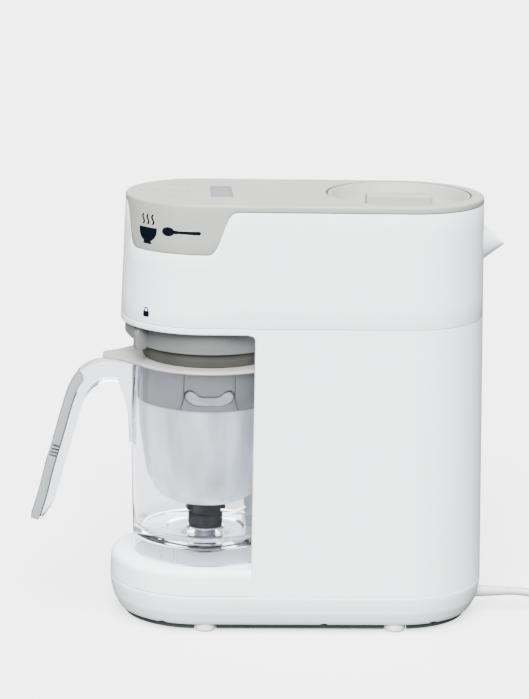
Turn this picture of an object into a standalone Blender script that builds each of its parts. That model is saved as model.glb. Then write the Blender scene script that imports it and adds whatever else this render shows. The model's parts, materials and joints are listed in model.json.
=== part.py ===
"""Baby food maker: a steaming and blending appliance with a removable clear jug.

The model stands on z = 0, with +X towards the water tank and the mains lead, -X towards the jug's
handle (the user's side), and +Z up. Every length below is in millimetres; MM turns it into metres.
"""

from math import acos, cos, pi, radians, sin

import bmesh
import bpy
from mathutils import Matrix, Vector

MM = 0.001
GAP = 0.3  # clearance between touching pieces

# Driving dimensions of the housing
HEIGHT = 330.0  # floor to the top of the cover
TOP_RADIUS = 60.0  # half the width at the very top
DRAFT = 0.0238  # growth of that radius per millimetre downwards
BACK_X = 103.2  # centre of the rear half circle of the plan
FRONT_X = -47.9  # centre of the front half circle at the top
FRONT_RAKE = 0.008  # how far that centre moves forwards per millimetre downwards
ARC_STEPS = 14  # facets of each half circle
WALL = 2.5
RING_STEPS = 30  # facets of the nested rings of the jug and the tank

FOOT_RADIUS = 8.5
FOOT_X = (-45.0, 100.0)
FOOT_Y = 50.0
COVER_BELOW = 2.2  # underside of the bottom cover
COVER_ABOVE = 8.2
COVER_INSET = 7.8
SCREWS = ((-80.0, 0.0), (10.0, -48.0), (10.0, 48.0), (150.0, 0.0))
TRAY_BOTTOM = 6.0
TRAY_EDGE = 5.0  # radius of the tray's lower edge
BASE_SEAM = 31.3
HEAD_SEAM = 237.3
RIM = 325.1  # underside of the top cover's visible edge
FLAP_BOTTOM = 293.0

# Jug bay
JUG_X = -44.3
BAY_EDGE = -11.0  # the tower's two front edges
BAY_RADIUS = 66.0
DECK = 50.5  # top of the platform under the jug
DECK_THICKNESS = 2.5
BAY_TOP = 232.5
COLLAR_HOLE = 57.5

# Jug, basket and lid
JUG_FOOT = 51.2
JUG_FLOOR = 67.5
JUG_RIM = 200.5
LID_UNDER = 201.9
LID_TOP = 204.2
LID_RADIUS = 62.4
LID_TAB_X = -124.6
HANDLE_WIDTH = 20.0
STRIP = 2.0  # thickness of the soft strip along the handle's back
HUB_RADIUS = 12.8
HUB_TOP = 86.6

# Cap and lever above the jug
SEAL_BOTTOM = 204.6
SEAL_TOP = 215.1
COLLAR_BOTTOM = 215.5
COLLAR_TOP = 231.5
COLLAR_RADIUS = 55.0

# Tank
TANK_X = 98.5
TANK_RADIUS = 53.6
TANK_BOTTOM = 205.0
TANK_TOP = 325.7
TANK_LID_RADIUS = 54.8
GRIP_LENGTH = 50.0
GRIP_WIDTH = 16.0

# Drain spout
SPOUT_TIP = 179.5
SPOUT_CHANNEL = 5.2  # width of its channel

# Drive
MOTOR_X = 95.0
MOTOR_RADIUS = 30.0
PULLEY_Z = (12.0, 22.0)
SPINDLE_PULLEY = 26.0
MOTOR_PULLEY = 10.0
BELT = 2.0

# Controls: three keys in a row beside the display, and one in front of them
KEY_RADIUS = 8.0
KEYS = ((-68.0, -24.0), (-68.0, 0.0), (-68.0, 24.0), (-90.0, 0.0))
DISPLAY_X = (-44.0, -28.0)
DISPLAY_Y = 24.5

# Mains lead
CORD_RADIUS = 3.25
CORD_Z = 15.5
CORD_START_X = 194.0
GLAND_LENGTH = 24.0
COIL_RADIUS = 38.0
COIL_X = 272.0
COIL_BAND = 6.7  # half the width of the wound band
COIL_HEIGHT = 13.2
CORD_LOW = CORD_RADIUS + 0.1
PLUG_X = COIL_X + COIL_RADIUS
PLUG_Z = 9.95


# Scene -------------------------------------------------------------------------------------------


def clear_scene():
    for item in list(bpy.data.objects):
        bpy.data.objects.remove(item, do_unlink=True)


def new_collection(name):
    made = bpy.data.collections.new(name)
    bpy.context.scene.collection.children.link(made)
    return made


def material(name, colour, roughness, metallic=0.0, alpha=1.0):
    made = bpy.data.materials.new(name)
    made.use_nodes = True
    shader = made.node_tree.nodes["Principled BSDF"]
    shader.inputs["Base Color"].default_value = (*colour, 1.0)
    shader.inputs["Roughness"].default_value = roughness
    shader.inputs["Metallic"].default_value = metallic
    shader.inputs["Alpha"].default_value = alpha
    return made


def add_object(name, mesh, finish=None):
    """Links a piece, or with no finish a cutter that is never drawn."""
    made = bpy.data.objects.new(name, mesh)
    if finish is None:
        CUTTERS.objects.link(made)
        made.hide_render = True
        made.display_type = "WIRE"
    else:
        PARTS.objects.link(made)
        mesh.materials.append(finish)
        mesh.shade_smooth()
        mesh.set_sharp_from_angle(angle=radians(35))
    return made


# Shapes ------------------------------------------------------------------------------------------


def mesh_from(name, bm):
    bmesh.ops.recalc_face_normals(bm, faces=bm.faces)
    mesh = bpy.data.meshes.new(name)
    bm.to_mesh(mesh)
    bm.free()
    return mesh


def loft(name, rings, finish=None):
    """A closed solid through rings of equal point counts, the first and last of them capped."""
    bm = bmesh.new()
    rows = [[bm.verts.new(Vector(point) * MM) for point in ring] for ring in rings]
    count = len(rows[0])
    for low, high in zip(rows, rows[1:]):
        for i in range(count):
            j = (i + 1) % count
            bm.faces.new((low[i], low[j], high[j], high[i]))
    bm.faces.new(rows[0][::-1])
    bm.faces.new(rows[-1])
    return add_object(name, mesh_from(name, bm), finish)


def boxes(name, corners, finish=None):
    """One object with a box for each pair of opposite corners."""
    bm = bmesh.new()
    for low, high in corners:
        size = [b - a for a, b in zip(low, high)]
        centre = [(a + b) / 2 for a, b in zip(low, high)]
        place = Matrix.Translation(Vector(centre) * MM) @ Matrix.Diagonal((*(s * MM for s in size), 1))
        bmesh.ops.create_cube(bm, size=1, matrix=place)
    return add_object(name, mesh_from(name, bm), finish)


def rods(name, places, finish=None, segments=14):
    """One object with an upright cylinder for each (x, y, radius, bottom, top)."""
    bm = bmesh.new()
    for x, y, radius, bottom, top in places:
        place = Matrix.Translation(Vector((x, y, (bottom + top) / 2)) * MM)
        bmesh.ops.create_cone(
            bm, cap_ends=True, segments=segments, radius1=radius * MM, radius2=radius * MM,
            depth=(top - bottom) * MM, matrix=place,
        )
    return add_object(name, mesh_from(name, bm), finish)


def turned(name, profile, x, y=0.0, finish=None, steps=26, closed=True):
    """A profile of (radius, height) turned about an upright axis. It runs down its outer side."""
    bm = bmesh.new()
    points = [bm.verts.new((radius * MM, 0, height * MM)) for radius, height in profile]
    for a, b in zip(points, points[1:] + points[:1] if closed else points[1:]):
        bm.edges.new((a, b))
    mesh = bpy.data.meshes.new(name)
    bm.to_mesh(mesh)
    bm.free()
    made = add_object(name, mesh, finish)
    made.location = (x * MM, y * MM, 0)
    spin = made.modifiers.new("Turn", "SCREW")
    spin.steps = spin.render_steps = steps
    spin.use_merge_vertices = True
    spin.merge_threshold = 0.00001
    return made


def prism(name, points, half_width, finish=None):
    """An outline of (x, z) points with thickness along Y."""
    rings = [[(px, side * half_width, pz) for px, pz in points] for side in (-1, 1)]
    return loft(name, rings, finish)


def slab(name, points, bottom, top, finish=None):
    """An outline of (x, y) points with thickness along Z."""
    return loft(name, [[(px, py, z) for px, py in points] for z in (bottom, top)], finish)


def lying_at(x, y, z, axis):
    """The place of a piece made upright that lies along +X (axis "Y") or +Y (axis "X")."""
    angle = pi / 2 if axis == "Y" else -pi / 2
    return Matrix.Translation(Vector((x, y, z)) * MM) @ Matrix.Rotation(angle, 4, axis)


def combine(target, tool, operation):
    step = target.modifiers.new(operation.title(), "BOOLEAN")
    step.operation = operation
    step.object = tool
    step.solver = "EXACT"


def cut(target, *tools):
    for tool in tools:
        combine(target, tool, "DIFFERENCE")


def join(target, *tools):
    for tool in tools:
        combine(target, tool, "UNION")


def arc(centre_x, centre_y, radius, start, end, steps):
    angles = [radians(start + (end - start) * i / steps) for i in range(steps + 1)]
    return [(centre_x + radius * cos(a), centre_y + radius * sin(a)) for a in angles]


def smooth_route(points, pieces):
    """Points along a smooth curve (Catmull-Rom) through the route's own points."""
    route = [Vector(p) for p in points]
    padded = [2 * route[0] - route[1], *route, 2 * route[-1] - route[-2]]
    found = []
    for a, b, c, d in zip(padded, padded[1:], padded[2:], padded[3:]):
        for i in range(pieces):
            t = i / pieces
            found.append(
                0.5 * (2 * b + (c - a) * t + (2 * a - 5 * b + 4 * c - d) * t**2
                       + (3 * b - a - 3 * c + d) * t**3)
            )
    return found + [route[-1]]


def tube(name, points, radius, finish, rounding=2):
    curve = bpy.data.curves.new(name, "CURVE")
    curve.dimensions = "3D"
    curve.bevel_depth = radius * MM
    curve.bevel_resolution = rounding
    curve.use_fill_caps = True
    spline = curve.splines.new("POLY")
    spline.points.add(len(points) - 1)
    for slot, point in zip(spline.points, points):
        slot.co = (*(Vector(point) * MM), 1)
    curve.materials.append(finish)
    made = bpy.data.objects.new(name, curve)
    PARTS.objects.link(made)
    return made


# Housing outline ---------------------------------------------------------------------------------


def half_width(z):
    return TOP_RADIUS + DRAFT * (HEIGHT - z)


def front_centre(z):
    return FRONT_X - FRONT_RAKE * (HEIGHT - z)


def outline(z, inset=0.0):
    """The housing's plan at height z: two half circles joined by straight sides."""
    radius = half_width(z) - inset
    back = arc(BACK_X, 0, radius, -90, 90, ARC_STEPS)
    front = arc(front_centre(z), 0, radius, 90, 270, ARC_STEPS)
    return [(x, y, z) for x, y in back + front]


def housing_block(name, levels, finish=None):
    """A solid through the housing's plan at (height, inset) levels."""
    return loft(name, [outline(z, inset) for z, inset in levels], finish)


def bay_block(name, bottom, top, edge, radius):
    """The room for the jug: everything in front of the tower's edges, and a round hollow behind."""
    reach = edge - JUG_X
    angle = acos(reach / radius) * 180 / pi
    hollow = arc(JUG_X, 0, radius, -angle, angle, 24)
    front = [(-140, -80), (edge, -80)], [(edge, 80), (-140, 80)]
    return slab(name, front[0] + hollow + front[1], bottom, top)


# Housing -----------------------------------------------------------------------------------------


def make_base():
    tray = housing_block(
        "base_tray",
        [(TRAY_BOTTOM, TRAY_EDGE), (TRAY_BOTTOM + 0.7, 2.5), (TRAY_BOTTOM + 2.5, 0.67),
         (TRAY_BOTTOM + TRAY_EDGE, 0), (BASE_SEAM - GAP, 0)],
        SHELL,
    )
    ledge = COVER_INSET - GAP
    room = housing_block("tray_room", [(4, ledge), (8.5, ledge), (8.5, WALL), (34, WALL)])
    lead_hole = rods("lead_hole", [(0, 0, 5.3, -6, 6)])
    lead_hole.matrix_world = lying_at(169, 0, CORD_Z, "Y")
    cut(tray, room, lead_hole)

    cover = housing_block(
        "bottom_cover",
        [(COVER_BELOW, COVER_INSET + 1.2), (COVER_BELOW + 1, COVER_INSET), (COVER_ABOVE, COVER_INSET)],
        DARK,
    )
    spots = [(x, y) for x in FOOT_X for y in (-FOOT_Y, FOOT_Y)]
    foot_holes = rods("foot_holes", [(x, y, FOOT_RADIUS + GAP, 0, 12) for x, y in spots])
    screw_holes = rods("screw_holes", [(x, y, 1.8, 0, 12) for x, y in SCREWS])
    screw_wells = rods("screw_wells", [(x, y, 3.6, 0, 5) for x, y in SCREWS])
    vents = boxes(
        "vent_slots",
        [((MOTOR_X - 22 + 9 * i, -20, 0), (MOTOR_X - 18 + 9 * i, 20, 12)) for i in range(6)],
    )
    cut(cover, foot_holes, screw_holes, screw_wells, vents)

    for number, (x, y) in enumerate(spots, 1):
        turned(
            f"foot_{number}",
            [(0, 10), (10.5, 10), (10.5, COVER_ABOVE + GAP), (FOOT_RADIUS, COVER_ABOVE + GAP),
             (FOOT_RADIUS, 1.0), (FOOT_RADIUS - 1, 0), (0, 0)],
            x, y, FOOT, 14, closed=False,
        )
    for number, (x, y) in enumerate(SCREWS, 1):
        turned(
            f"base_screw_{number}",
            [(0, 20), (1.3, 20), (1.3, 4.6), (3.2, 4.6), (3.2, 2.8), (0, 2.8)],
            x, y, STEEL, 8, closed=False,
        )


def make_tower():
    tower = housing_block("tower_housing", [(BASE_SEAM, 0), (HEAD_SEAM, 0)], SHELL)
    room = housing_block("tower_room", [(BASE_SEAM - 3, WALL), (HEAD_SEAM + 3, WALL)])
    wall = bay_block("bay_wall", DECK - DECK_THICKNESS, HEAD_SEAM + 5, BAY_EDGE + WALL, BAY_RADIUS + WALL)
    cut(room, wall)
    bay = bay_block("bay", DECK, BAY_TOP, BAY_EDGE, BAY_RADIUS)
    holes = rods(
        "tower_holes",
        [(JUG_X, 0, COLLAR_HOLE, BAY_TOP - 3, HEAD_SEAM + 3), (JUG_X, 0, 12.5, DECK - 5, DECK + 3)],
        segments=36,
    )
    cut(tower, room, bay, holes)


def flap_edge(s):
    """Height of the badge flap's lower edge at s mm along the near side from the front arc's end."""
    ramp, left, right = 23.0, -61.0, 0.0
    away = max(left - s, s - right, 0.0) / ramp
    if away >= 1:
        return RIM
    return FLAP_BOTTOM + (RIM - FLAP_BOTTOM) * (1 - cos(pi * away)) / 2


def flap_column(s, z, inset):
    """The housing's faceted side at s mm along it, at height z."""
    ring = outline(z, inset)
    start = 2 * ARC_STEPS + 1
    if s < 0:
        place = start + s / (half_width(RIM) * pi / ARC_STEPS)
    else:
        place = start + s / (BACK_X - front_centre(RIM))
    low = int(place)
    a, b = Vector(ring[low]), Vector(ring[(low + 1) % len(ring)])
    return a + (b - a) * (place - low)


def flap_block(name, outer, inner, drop, top):
    """The flap, or the opening for it, as columns across the housing's wall."""
    facet = half_width(RIM) * pi / ARC_STEPS
    ends = (-84.0, 23.0)
    places = {ends[0] + 23 * i / 10 for i in range(11)} | {ends[1] - 23 * i / 10 for i in range(11)}
    places |= {-facet * i for i in range(0, 8)}
    rings = []
    for s in sorted(places):
        low = flap_edge(s) - drop
        corners = ((outer, low), (outer, top), (inner, top), (inner, low))
        rings.append([flap_column(s, z, inset) for inset, z in corners])
    return loft(name, rings)


def make_head():
    head = housing_block("head_shell", [(HEAD_SEAM + GAP, 0), (RIM - GAP, 0)], SHELL)
    room = housing_block("head_room", [(HEAD_SEAM - 3, WALL), (RIM + 3, WALL)])
    flap_gap = flap_block("flap_gap", -4, 6, GAP, RIM + 4)
    spout_way = boxes("spout_way", [((150, -5, 288), (175, 5, 300))])
    cut(head, room, flap_gap, spout_way)

    frame = housing_block("head_frame", [(238, 3), (241, 3)], GREY)
    behind = boxes("frame_end", [((28, -80, 230), (200, 80, 250))])
    cut(frame, behind, rods("cap_way", [(JUG_X, 0, 10, 230, 250)]))

    cover = housing_block(
        "top_cover", [(RIM, 0), (HEIGHT - 1.6, 0), (HEIGHT - 0.5, 0.5), (HEIGHT, 1.8)], COVER
    )
    flap = flap_block("cover_flap", 0.05, 2.2, 0, RIM + 1.5)
    openings = rods(
        "cover_openings",
        [(TANK_X, 0, TANK_LID_RADIUS + 0.6, 315, 340)]
        + [(x, y, KEY_RADIUS + GAP, 315, 340) for x, y in KEYS],
        segments=24,
    )
    low_x, high_x = DISPLAY_X
    seat = boxes(
        "window_seat", [((low_x - GAP, -DISPLAY_Y - GAP, 328.6), (high_x + GAP, DISPLAY_Y + GAP, 340))]
    )
    hole = boxes(
        "window_hole", [((low_x + 1.5, -DISPLAY_Y + 1.5, 315), (high_x - 1.5, DISPLAY_Y - 1.5, 335))]
    )
    join(cover, flap)
    cut(cover, openings, seat, hole)

    boxes("display_window", [((low_x, -DISPLAY_Y, 328.9), (high_x, DISPLAY_Y, 329.9))], WINDOW)
    board = boxes("control_board", [((-93, -32, 318), (-20, 32, 319.6))], BOARD)
    join(board, boxes("display_module", [((low_x + 2, -22, 319), (high_x - 2, 22, 326))]))
    for number, (x, y) in enumerate(KEYS, 1):
        turned(
            f"key_{number}",
            [(0, HEIGHT - 0.1), (KEY_RADIUS - 0.5, HEIGHT - 0.1), (KEY_RADIUS, HEIGHT - 0.6),
             (KEY_RADIUS, 325), (KEY_RADIUS + 1.5, 324.6), (KEY_RADIUS + 1.5, 322), (0, 322)],
            x, y, KEY, 14, closed=False,
        )


def spout_section(x, half, bottom, top):
    """A cross-section of the spout: a half ellipse below, and a narrower flat top."""
    middle = bottom + 0.62 * (top - bottom)
    angles = [radians(a) for a in range(180, 361, 20)]
    low = [(x, half * cos(a), middle + (middle - bottom) * sin(a)) for a in angles]
    return low + [(x, half * 0.8, top), (x, -half * 0.8, top)]


def make_spout():
    sections = ((158.0, 20.0, 272.2, 313.5), (178.0, 5.2, 290.6, 294.7), (SPOUT_TIP, 3.4, 292.2, 293.6))
    spout = loft("drain_spout", [spout_section(*section) for section in sections], SHELL)
    body = housing_block("spout_trim", [(250, -GAP), (335, -GAP)])
    floor = [(150, 289.5), (177.5, 292.6), (182, 292.9)]
    channel = prism("spout_channel", floor + [(182, 320), (150, 320)], SPOUT_CHANNEL / 2)
    cut(spout, body, channel)


# Water and steam ---------------------------------------------------------------------------------


def make_water_system():
    wall = 2.0
    turned(
        "water_tank",
        [(0, TANK_BOTTOM + wall), (TANK_RADIUS - wall, TANK_BOTTOM + wall), (TANK_RADIUS - wall, TANK_TOP),
         (TANK_RADIUS, TANK_TOP), (TANK_RADIUS, TANK_BOTTOM), (0, TANK_BOTTOM)],
        TANK_X, 0, TANK, RING_STEPS, closed=False,
    )
    turned(
        "tank_lid_seal",
        [(51.3, 323.2), (51.3, 320.8), (49.3, 320.8), (49.3, 323.2)],
        TANK_X, 0, RUBBER, RING_STEPS,
    )
    lid = turned(
        "tank_lid",
        [(0, 319.2), (45.5, 319.2), (51.6, 328.6), (53.2, HEIGHT), (TANK_LID_RADIUS, 329.2),
         (TANK_LID_RADIUS, 326.0), (50.6, 326.0), (49.0, 324.5), (49.0, 317.0), (0, 317.0)],
        TANK_X, 0, COVER, RING_STEPS, closed=False,
    )
    ends = ((-1, 318), (1, HEIGHT - 0.1))
    grip = [(TANK_X + side * GRIP_LENGTH / 2, side * GRIP_WIDTH / 2, z) for side, z in ends]
    join(lid, boxes("lid_grip", [grip]))
    rods("steam_boiler", [(TANK_X, 0, 28, 160, 190)], ALUMINIUM, 20)
    turned("heating_element", [(25, 159.7), (25, 154), (19, 154), (19, 159.7)], TANK_X, 0, STEEL, 20)
    tube(
        "steam_tube",
        smooth_route([(70.1, 0, 178), (50, 0, 178), (36, 0, 190), (35, 0, 225), (30, 0, 250), (0, 0, 258),
                      (-30, 0, 259), (-43, 0, 256), (JUG_X, 0, 246.4)], 2),
        3.5, SILICONE,
    )
    turned("steam_nozzle", [(5, 246), (5, 206.2), (2.4, 206.2), (2.4, 246)], JUG_X, 0, STEEL, 16)


# Cap and lever -----------------------------------------------------------------------------------


def make_cap():
    turned(
        "steam_cap",
        [(9, 236), (9, 219), (50.6, 219), (50.6, 215.4), (5.4, 215.4), (5.4, 236)],
        JUG_X, 0, GREY,
    )
    turned(
        "cap_seal",
        [(51, SEAL_TOP), (50.6, 207), (49.4, SEAL_BOTTOM), (44, SEAL_BOTTOM), (42, 207), (41, SEAL_TOP)],
        JUG_X, 0, RUBBER,
    )
    lever = turned(
        "lock_lever",
        [(COLLAR_RADIUS, COLLAR_TOP), (COLLAR_RADIUS, COLLAR_BOTTOM), (52.4, COLLAR_BOTTOM),
         (52.4, 229.2), (10, 229.2), (10, COLLAR_TOP)],
        JUG_X, 0, COLLAR,
    )
    rings = []
    for angle in range(178, 211, 4):
        a = radians(angle)
        top = COLLAR_TOP - 0.2
        corners = ((53.5, 218), (61.5, 219), (62.5, 221), (62.5, 230), (61.5, top), (53.5, top))
        rings.append([(JUG_X + r * cos(a), r * sin(a), z) for r, z in corners])
    knob_angle = radians(211)
    knob = (JUG_X + 59.5 * cos(knob_angle), 59.5 * sin(knob_angle), 6.5, 214.6, 231.1)
    join(lever, loft("lever_tab", rings), rods("lever_knob", [knob]))


# Jug ---------------------------------------------------------------------------------------------


def handle_outline(inset):
    """The hooked handle's side view; the inset leaves room for the strip along its back."""
    back = ((-121, 199.2), (-129.5, 198), (-138, 194), (-145, 187.5), (-150, 179), (-154, 168.5),
            (-162, 139.2), (-168.2, 117.7), (-173.5, 95.3), (-179.5, 75.3))
    inner = ((-173.5, 73.7), (-167.3, 79.3), (-160.4, 91.4), (-155.1, 111.4), (-150.6, 127.4),
             (-146.1, 143.3), (-142.3, 157.5), (-138.5, 168.6), (-131.7, 178.1), (-123.3, 182.9),
             (-112, 183.5))
    outer = []
    for i, point in enumerate(back):
        before, after = back[max(i - 1, 0)], back[min(i + 1, len(back) - 1)]
        along = Vector((after[0] - before[0], after[1] - before[1])).normalized()
        outer.append((point[0] - inset * along.y, point[1] + inset * along.x))
    return outer, list(inner)


def make_jug():
    turned(
        "jug",
        [(58.4, JUG_RIM), (57.6, 130), (55.9, JUG_FLOOR), (55.5, JUG_FOOT), (53.1, JUG_FOOT), (53.3, 64.5),
         (7.2, 64.5), (7.2, JUG_FLOOR), (49, JUG_FLOOR), (52.8, 71), (55.0, 130), (55.9, JUG_RIM)],
        JUG_X, 0, CLEAR, RING_STEPS,
    )
    outer, inner = handle_outline(STRIP + GAP)
    root = [(-108, 165), (-104, 132), (-100, 132), (-100, 198)]
    handle = prism("jug_handle", outer + inner + root, HANDLE_WIDTH / 2, CLEAR)
    wall = turned(
        "handle_root", [(0, 215), (58.75, 215), (58.7, JUG_RIM), (57.9, 130), (57.9, 120), (0, 120)],
        JUG_X, 0, None, RING_STEPS, closed=False,
    )
    cut(handle, wall)
    face, _ = handle_outline(0)
    seat, _ = handle_outline(STRIP)
    prism("handle_strip", face[1:] + seat[:0:-1], 5.0, GREY)

    bowl = turned(
        "basket_bowl",
        [(0, 89), (30.5, 91.8), (37.6, 99.5), (43.6, 113), (49.1, 144.5), (51.8, 171.7), (53.8, 171.7),
         (51.1, 144), (45.6, 112), (39, 98), (31, 90), (12, 87), (0, 87)],
        JUG_X, 0, BASKET, RING_STEPS, closed=False,
    )
    drains = [(JUG_X + 20 * cos(radians(45 * i)), 20 * sin(radians(45 * i)), 2.5, 80, 100) for i in range(8)]
    cut(bowl, rods("basket_drains", drains, segments=6))
    band = turned(
        "basket_band",
        [(58, 201.6), (58, 200.8), (54.6, 200.8), (54.4, 172), (52.4, 172), (52.6, 201.6)],
        JUG_X, 0, BAND, RING_STEPS,
    )
    cut(band, boxes("finger_slot", [((JUG_X - 17, -60, 178), (JUG_X + 17, -45, 187))]))

    lid = turned(
        "jug_lid",
        [(61.8, LID_TOP), (LID_RADIUS, LID_TOP - 0.6), (LID_RADIUS, LID_UNDER), (52, LID_UNDER), (52, 198),
         (50.9, 198), (50.9, 195), (51.9, 195), (51.8, 192), (49, 192), (49, LID_UNDER), (6, LID_UNDER),
         (6, LID_TOP)],
        JUG_X, 0, LID, RING_STEPS,
    )
    near = [(LID_TAB_X, -5), (LID_TAB_X + 1, -8), (LID_TAB_X + 4, -10.5), (-112, -15.5), (-96, -29)]
    tab = near + [(x, -y) for x, y in reversed(near)]
    join(lid, slab("lid_tab", tab, LID_UNDER + 0.1, LID_TOP - 0.1))
    gasket = [(52.25, 197.7), (52.25, 195.3), (51.2, 195.3), (51.2, 197.7)]
    turned("lid_gasket", gasket, JUG_X, 0, RUBBER, RING_STEPS)


# Blade and drive ---------------------------------------------------------------------------------


def toothed(teeth, outer, inner, share=0.5):
    """A toothed outline about the origin. A tooth's root takes the given share of its pitch."""
    corners = ((inner, -0.5), (outer, -0.3), (outer, 0.3), (inner, 0.5))
    points = []
    for i in range(teeth):
        for radius, side in corners:
            a = 2 * pi * (i + side * share) / teeth
            points.append((radius * cos(a), radius * sin(a)))
    return points


def make_blade():
    turned("blade_bush", [(6.9, 70.2), (6.9, 61.5), (3.9, 61.5), (3.9, 70.2)], JUG_X, 0, STEEL, 16)
    rods("blade_shaft", [(JUG_X, 0, 3.5, 57.3, 77)], STEEL, 14)
    turned(
        "blade_hub",
        [(0, HUB_TOP), (10, HUB_TOP), (10.9, HUB_TOP - 1), (10.9, 79.5), (HUB_RADIUS, 78.4),
         (HUB_RADIUS, 70.6), (3.8, 70.6), (3.8, 77.3), (0, 77.3)],
        JUG_X, 0, HUB, 20, closed=False,
    )
    wings = []
    for side in (0, pi):
        edge = ((12.8, -0.55), (24, -0.28), (31, -0.12), (31.5, 0.04), (22, 0.30), (12.8, 0.60))
        for radius, angle in edge:
            wings.append((radius * cos(angle + side), radius * sin(angle + side)))
    blade = slab("chopping_blade", [(JUG_X + x, y) for x, y in wings], 75.0, 76.2, STEEL)
    hub_way = rods("hub_way", [(JUG_X, 0, HUB_RADIUS + GAP, 70, 80)], segments=20)
    ring = rods("blade_ring", [(JUG_X, 0, HUB_RADIUS + 2.5, 75.0, 76.2)], segments=20)
    join(blade, ring)
    cut(blade, hub_way)
    turned(
        "driven_coupling",
        [(13, 61), (13, 52.4), (10.2, 52.4), (10.2, 57.0), (3.8, 57.0), (3.8, 61)],
        JUG_X, 0, HUB, 20,
    )


def make_drive():
    slab("drive_dog", [(JUG_X + x, y) for x, y in toothed(6, 9.4, 6.6)], 50.3, 56.0, HUB)
    rods("spindle", [(JUG_X, 0, 4, 11, 50)], STEEL, 14)
    turned("spindle_bearing", [(9, 32), (9, 25.4), (4.3, 25.4), (4.3, 32)], JUG_X, 0, STEEL, 16)
    turned(
        "driven_pulley",
        [(SPINDLE_PULLEY + 1.5, PULLEY_Z[1] + 1), (SPINDLE_PULLEY + 1.5, PULLEY_Z[1]),
         (SPINDLE_PULLEY, PULLEY_Z[1]), (SPINDLE_PULLEY, PULLEY_Z[0]),
         (SPINDLE_PULLEY + 1.5, PULLEY_Z[0]), (SPINDLE_PULLEY + 1.5, PULLEY_Z[0] - 1),
         (4.3, PULLEY_Z[0] - 1), (4.3, PULLEY_Z[1] + 1)],
        JUG_X, 0, PLASTIC, 24,
    )
    turned(
        "motor_pulley",
        [(MOTOR_PULLEY, PULLEY_Z[1] + 1), (MOTOR_PULLEY, PULLEY_Z[0] - 1), (3.3, PULLEY_Z[0] - 1),
         (3.3, PULLEY_Z[1] + 1)],
        MOTOR_X, 0, STEEL, 18,
    )
    loops = []
    for extra in (GAP + BELT, GAP):
        span = MOTOR_X - JUG_X
        lean = acos((SPINDLE_PULLEY - MOTOR_PULLEY) / span) * 180 / pi
        loops.append(
            arc(MOTOR_X, 0, MOTOR_PULLEY + extra, -lean, lean, 12)
            + arc(JUG_X, 0, SPINDLE_PULLEY + extra, lean, 360 - lean, 24)
        )
    belt = slab("drive_belt", loops[0], PULLEY_Z[0] + 1, PULLEY_Z[1] - 1, RUBBER)
    cut(belt, slab("belt_inside", loops[1], 0, 30))

    chassis = housing_block("chassis_plate", [(27, 5), (30, 5)], PLASTIC)
    posts = rods("chassis_posts", [(x, y, 4, 8.6, 28) for x, y in SCREWS])
    holes = rods(
        "chassis_holes",
        [(x, y, 1.7, 5, 24) for x, y in SCREWS] + [(JUG_X, 0, 9.3, 20, 40), (MOTOR_X, 0, 12, 20, 40)],
    )
    join(chassis, posts)
    cut(chassis, holes)

    bracket = boxes("motor_bracket", [((MOTOR_X - 36, -36, 50), (MOTOR_X + 36, 36, 53))], STEEL)
    corners = [(sx * 30, sy * 30) for sx in (-1, 1) for sy in (-1, 1)]
    legs = rods("bracket_legs", [(MOTOR_X + x, y, 4, 30.3, 52) for x, y in corners])
    join(bracket, legs)
    cut(bracket, rods("bracket_hole", [(MOTOR_X, 0, 6, 40, 60)]))
    turned(
        "motor_can",
        [(MOTOR_RADIUS, 115), (MOTOR_RADIUS, 53.3), (6, 53.3), (6, 56), (MOTOR_RADIUS - 3, 56),
         (MOTOR_RADIUS - 3, 115)],
        MOTOR_X, 0, STEEL, 20,
    )
    turned(
        "motor_rotor",
        [(0, 128), (3, 128), (3, 108), (23, 108), (23, 62), (3, 62), (3, 10.5), (0, 10.5)],
        MOTOR_X, 0, STEEL, 18, closed=False,
    )
    fan = slab("cooling_fan", [(MOTOR_X + x, y) for x, y in toothed(9, 26, 8, 0.36)], 117, 125, PLASTIC)
    cut(fan, rods("fan_bore", [(MOTOR_X, 0, 3.3, 110, 130)]))
    boxes("power_board", [((140, -30, 60), (141.6, 30, 140))], BOARD)
    boxes("lid_switch", [((-8, 22, 241.3), (4, 29, 250))], PLASTIC)


# Mains lead --------------------------------------------------------------------------------------


def plug_section(y, half, high):
    """A cross-section of the flat plug: a rounded rectangle, and a circle at its tail."""
    squareness = 1 if half == high else 0.6
    points = []
    for i in range(16):
        c, d = cos(pi * i / 8), sin(pi * i / 8)
        x = half * abs(c) ** squareness * (1 if c > 0 else -1)
        z = high * abs(d) ** squareness * (1 if d > 0 else -1)
        points.append((PLUG_X + x, y, PLUG_Z + z))
    return points


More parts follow.
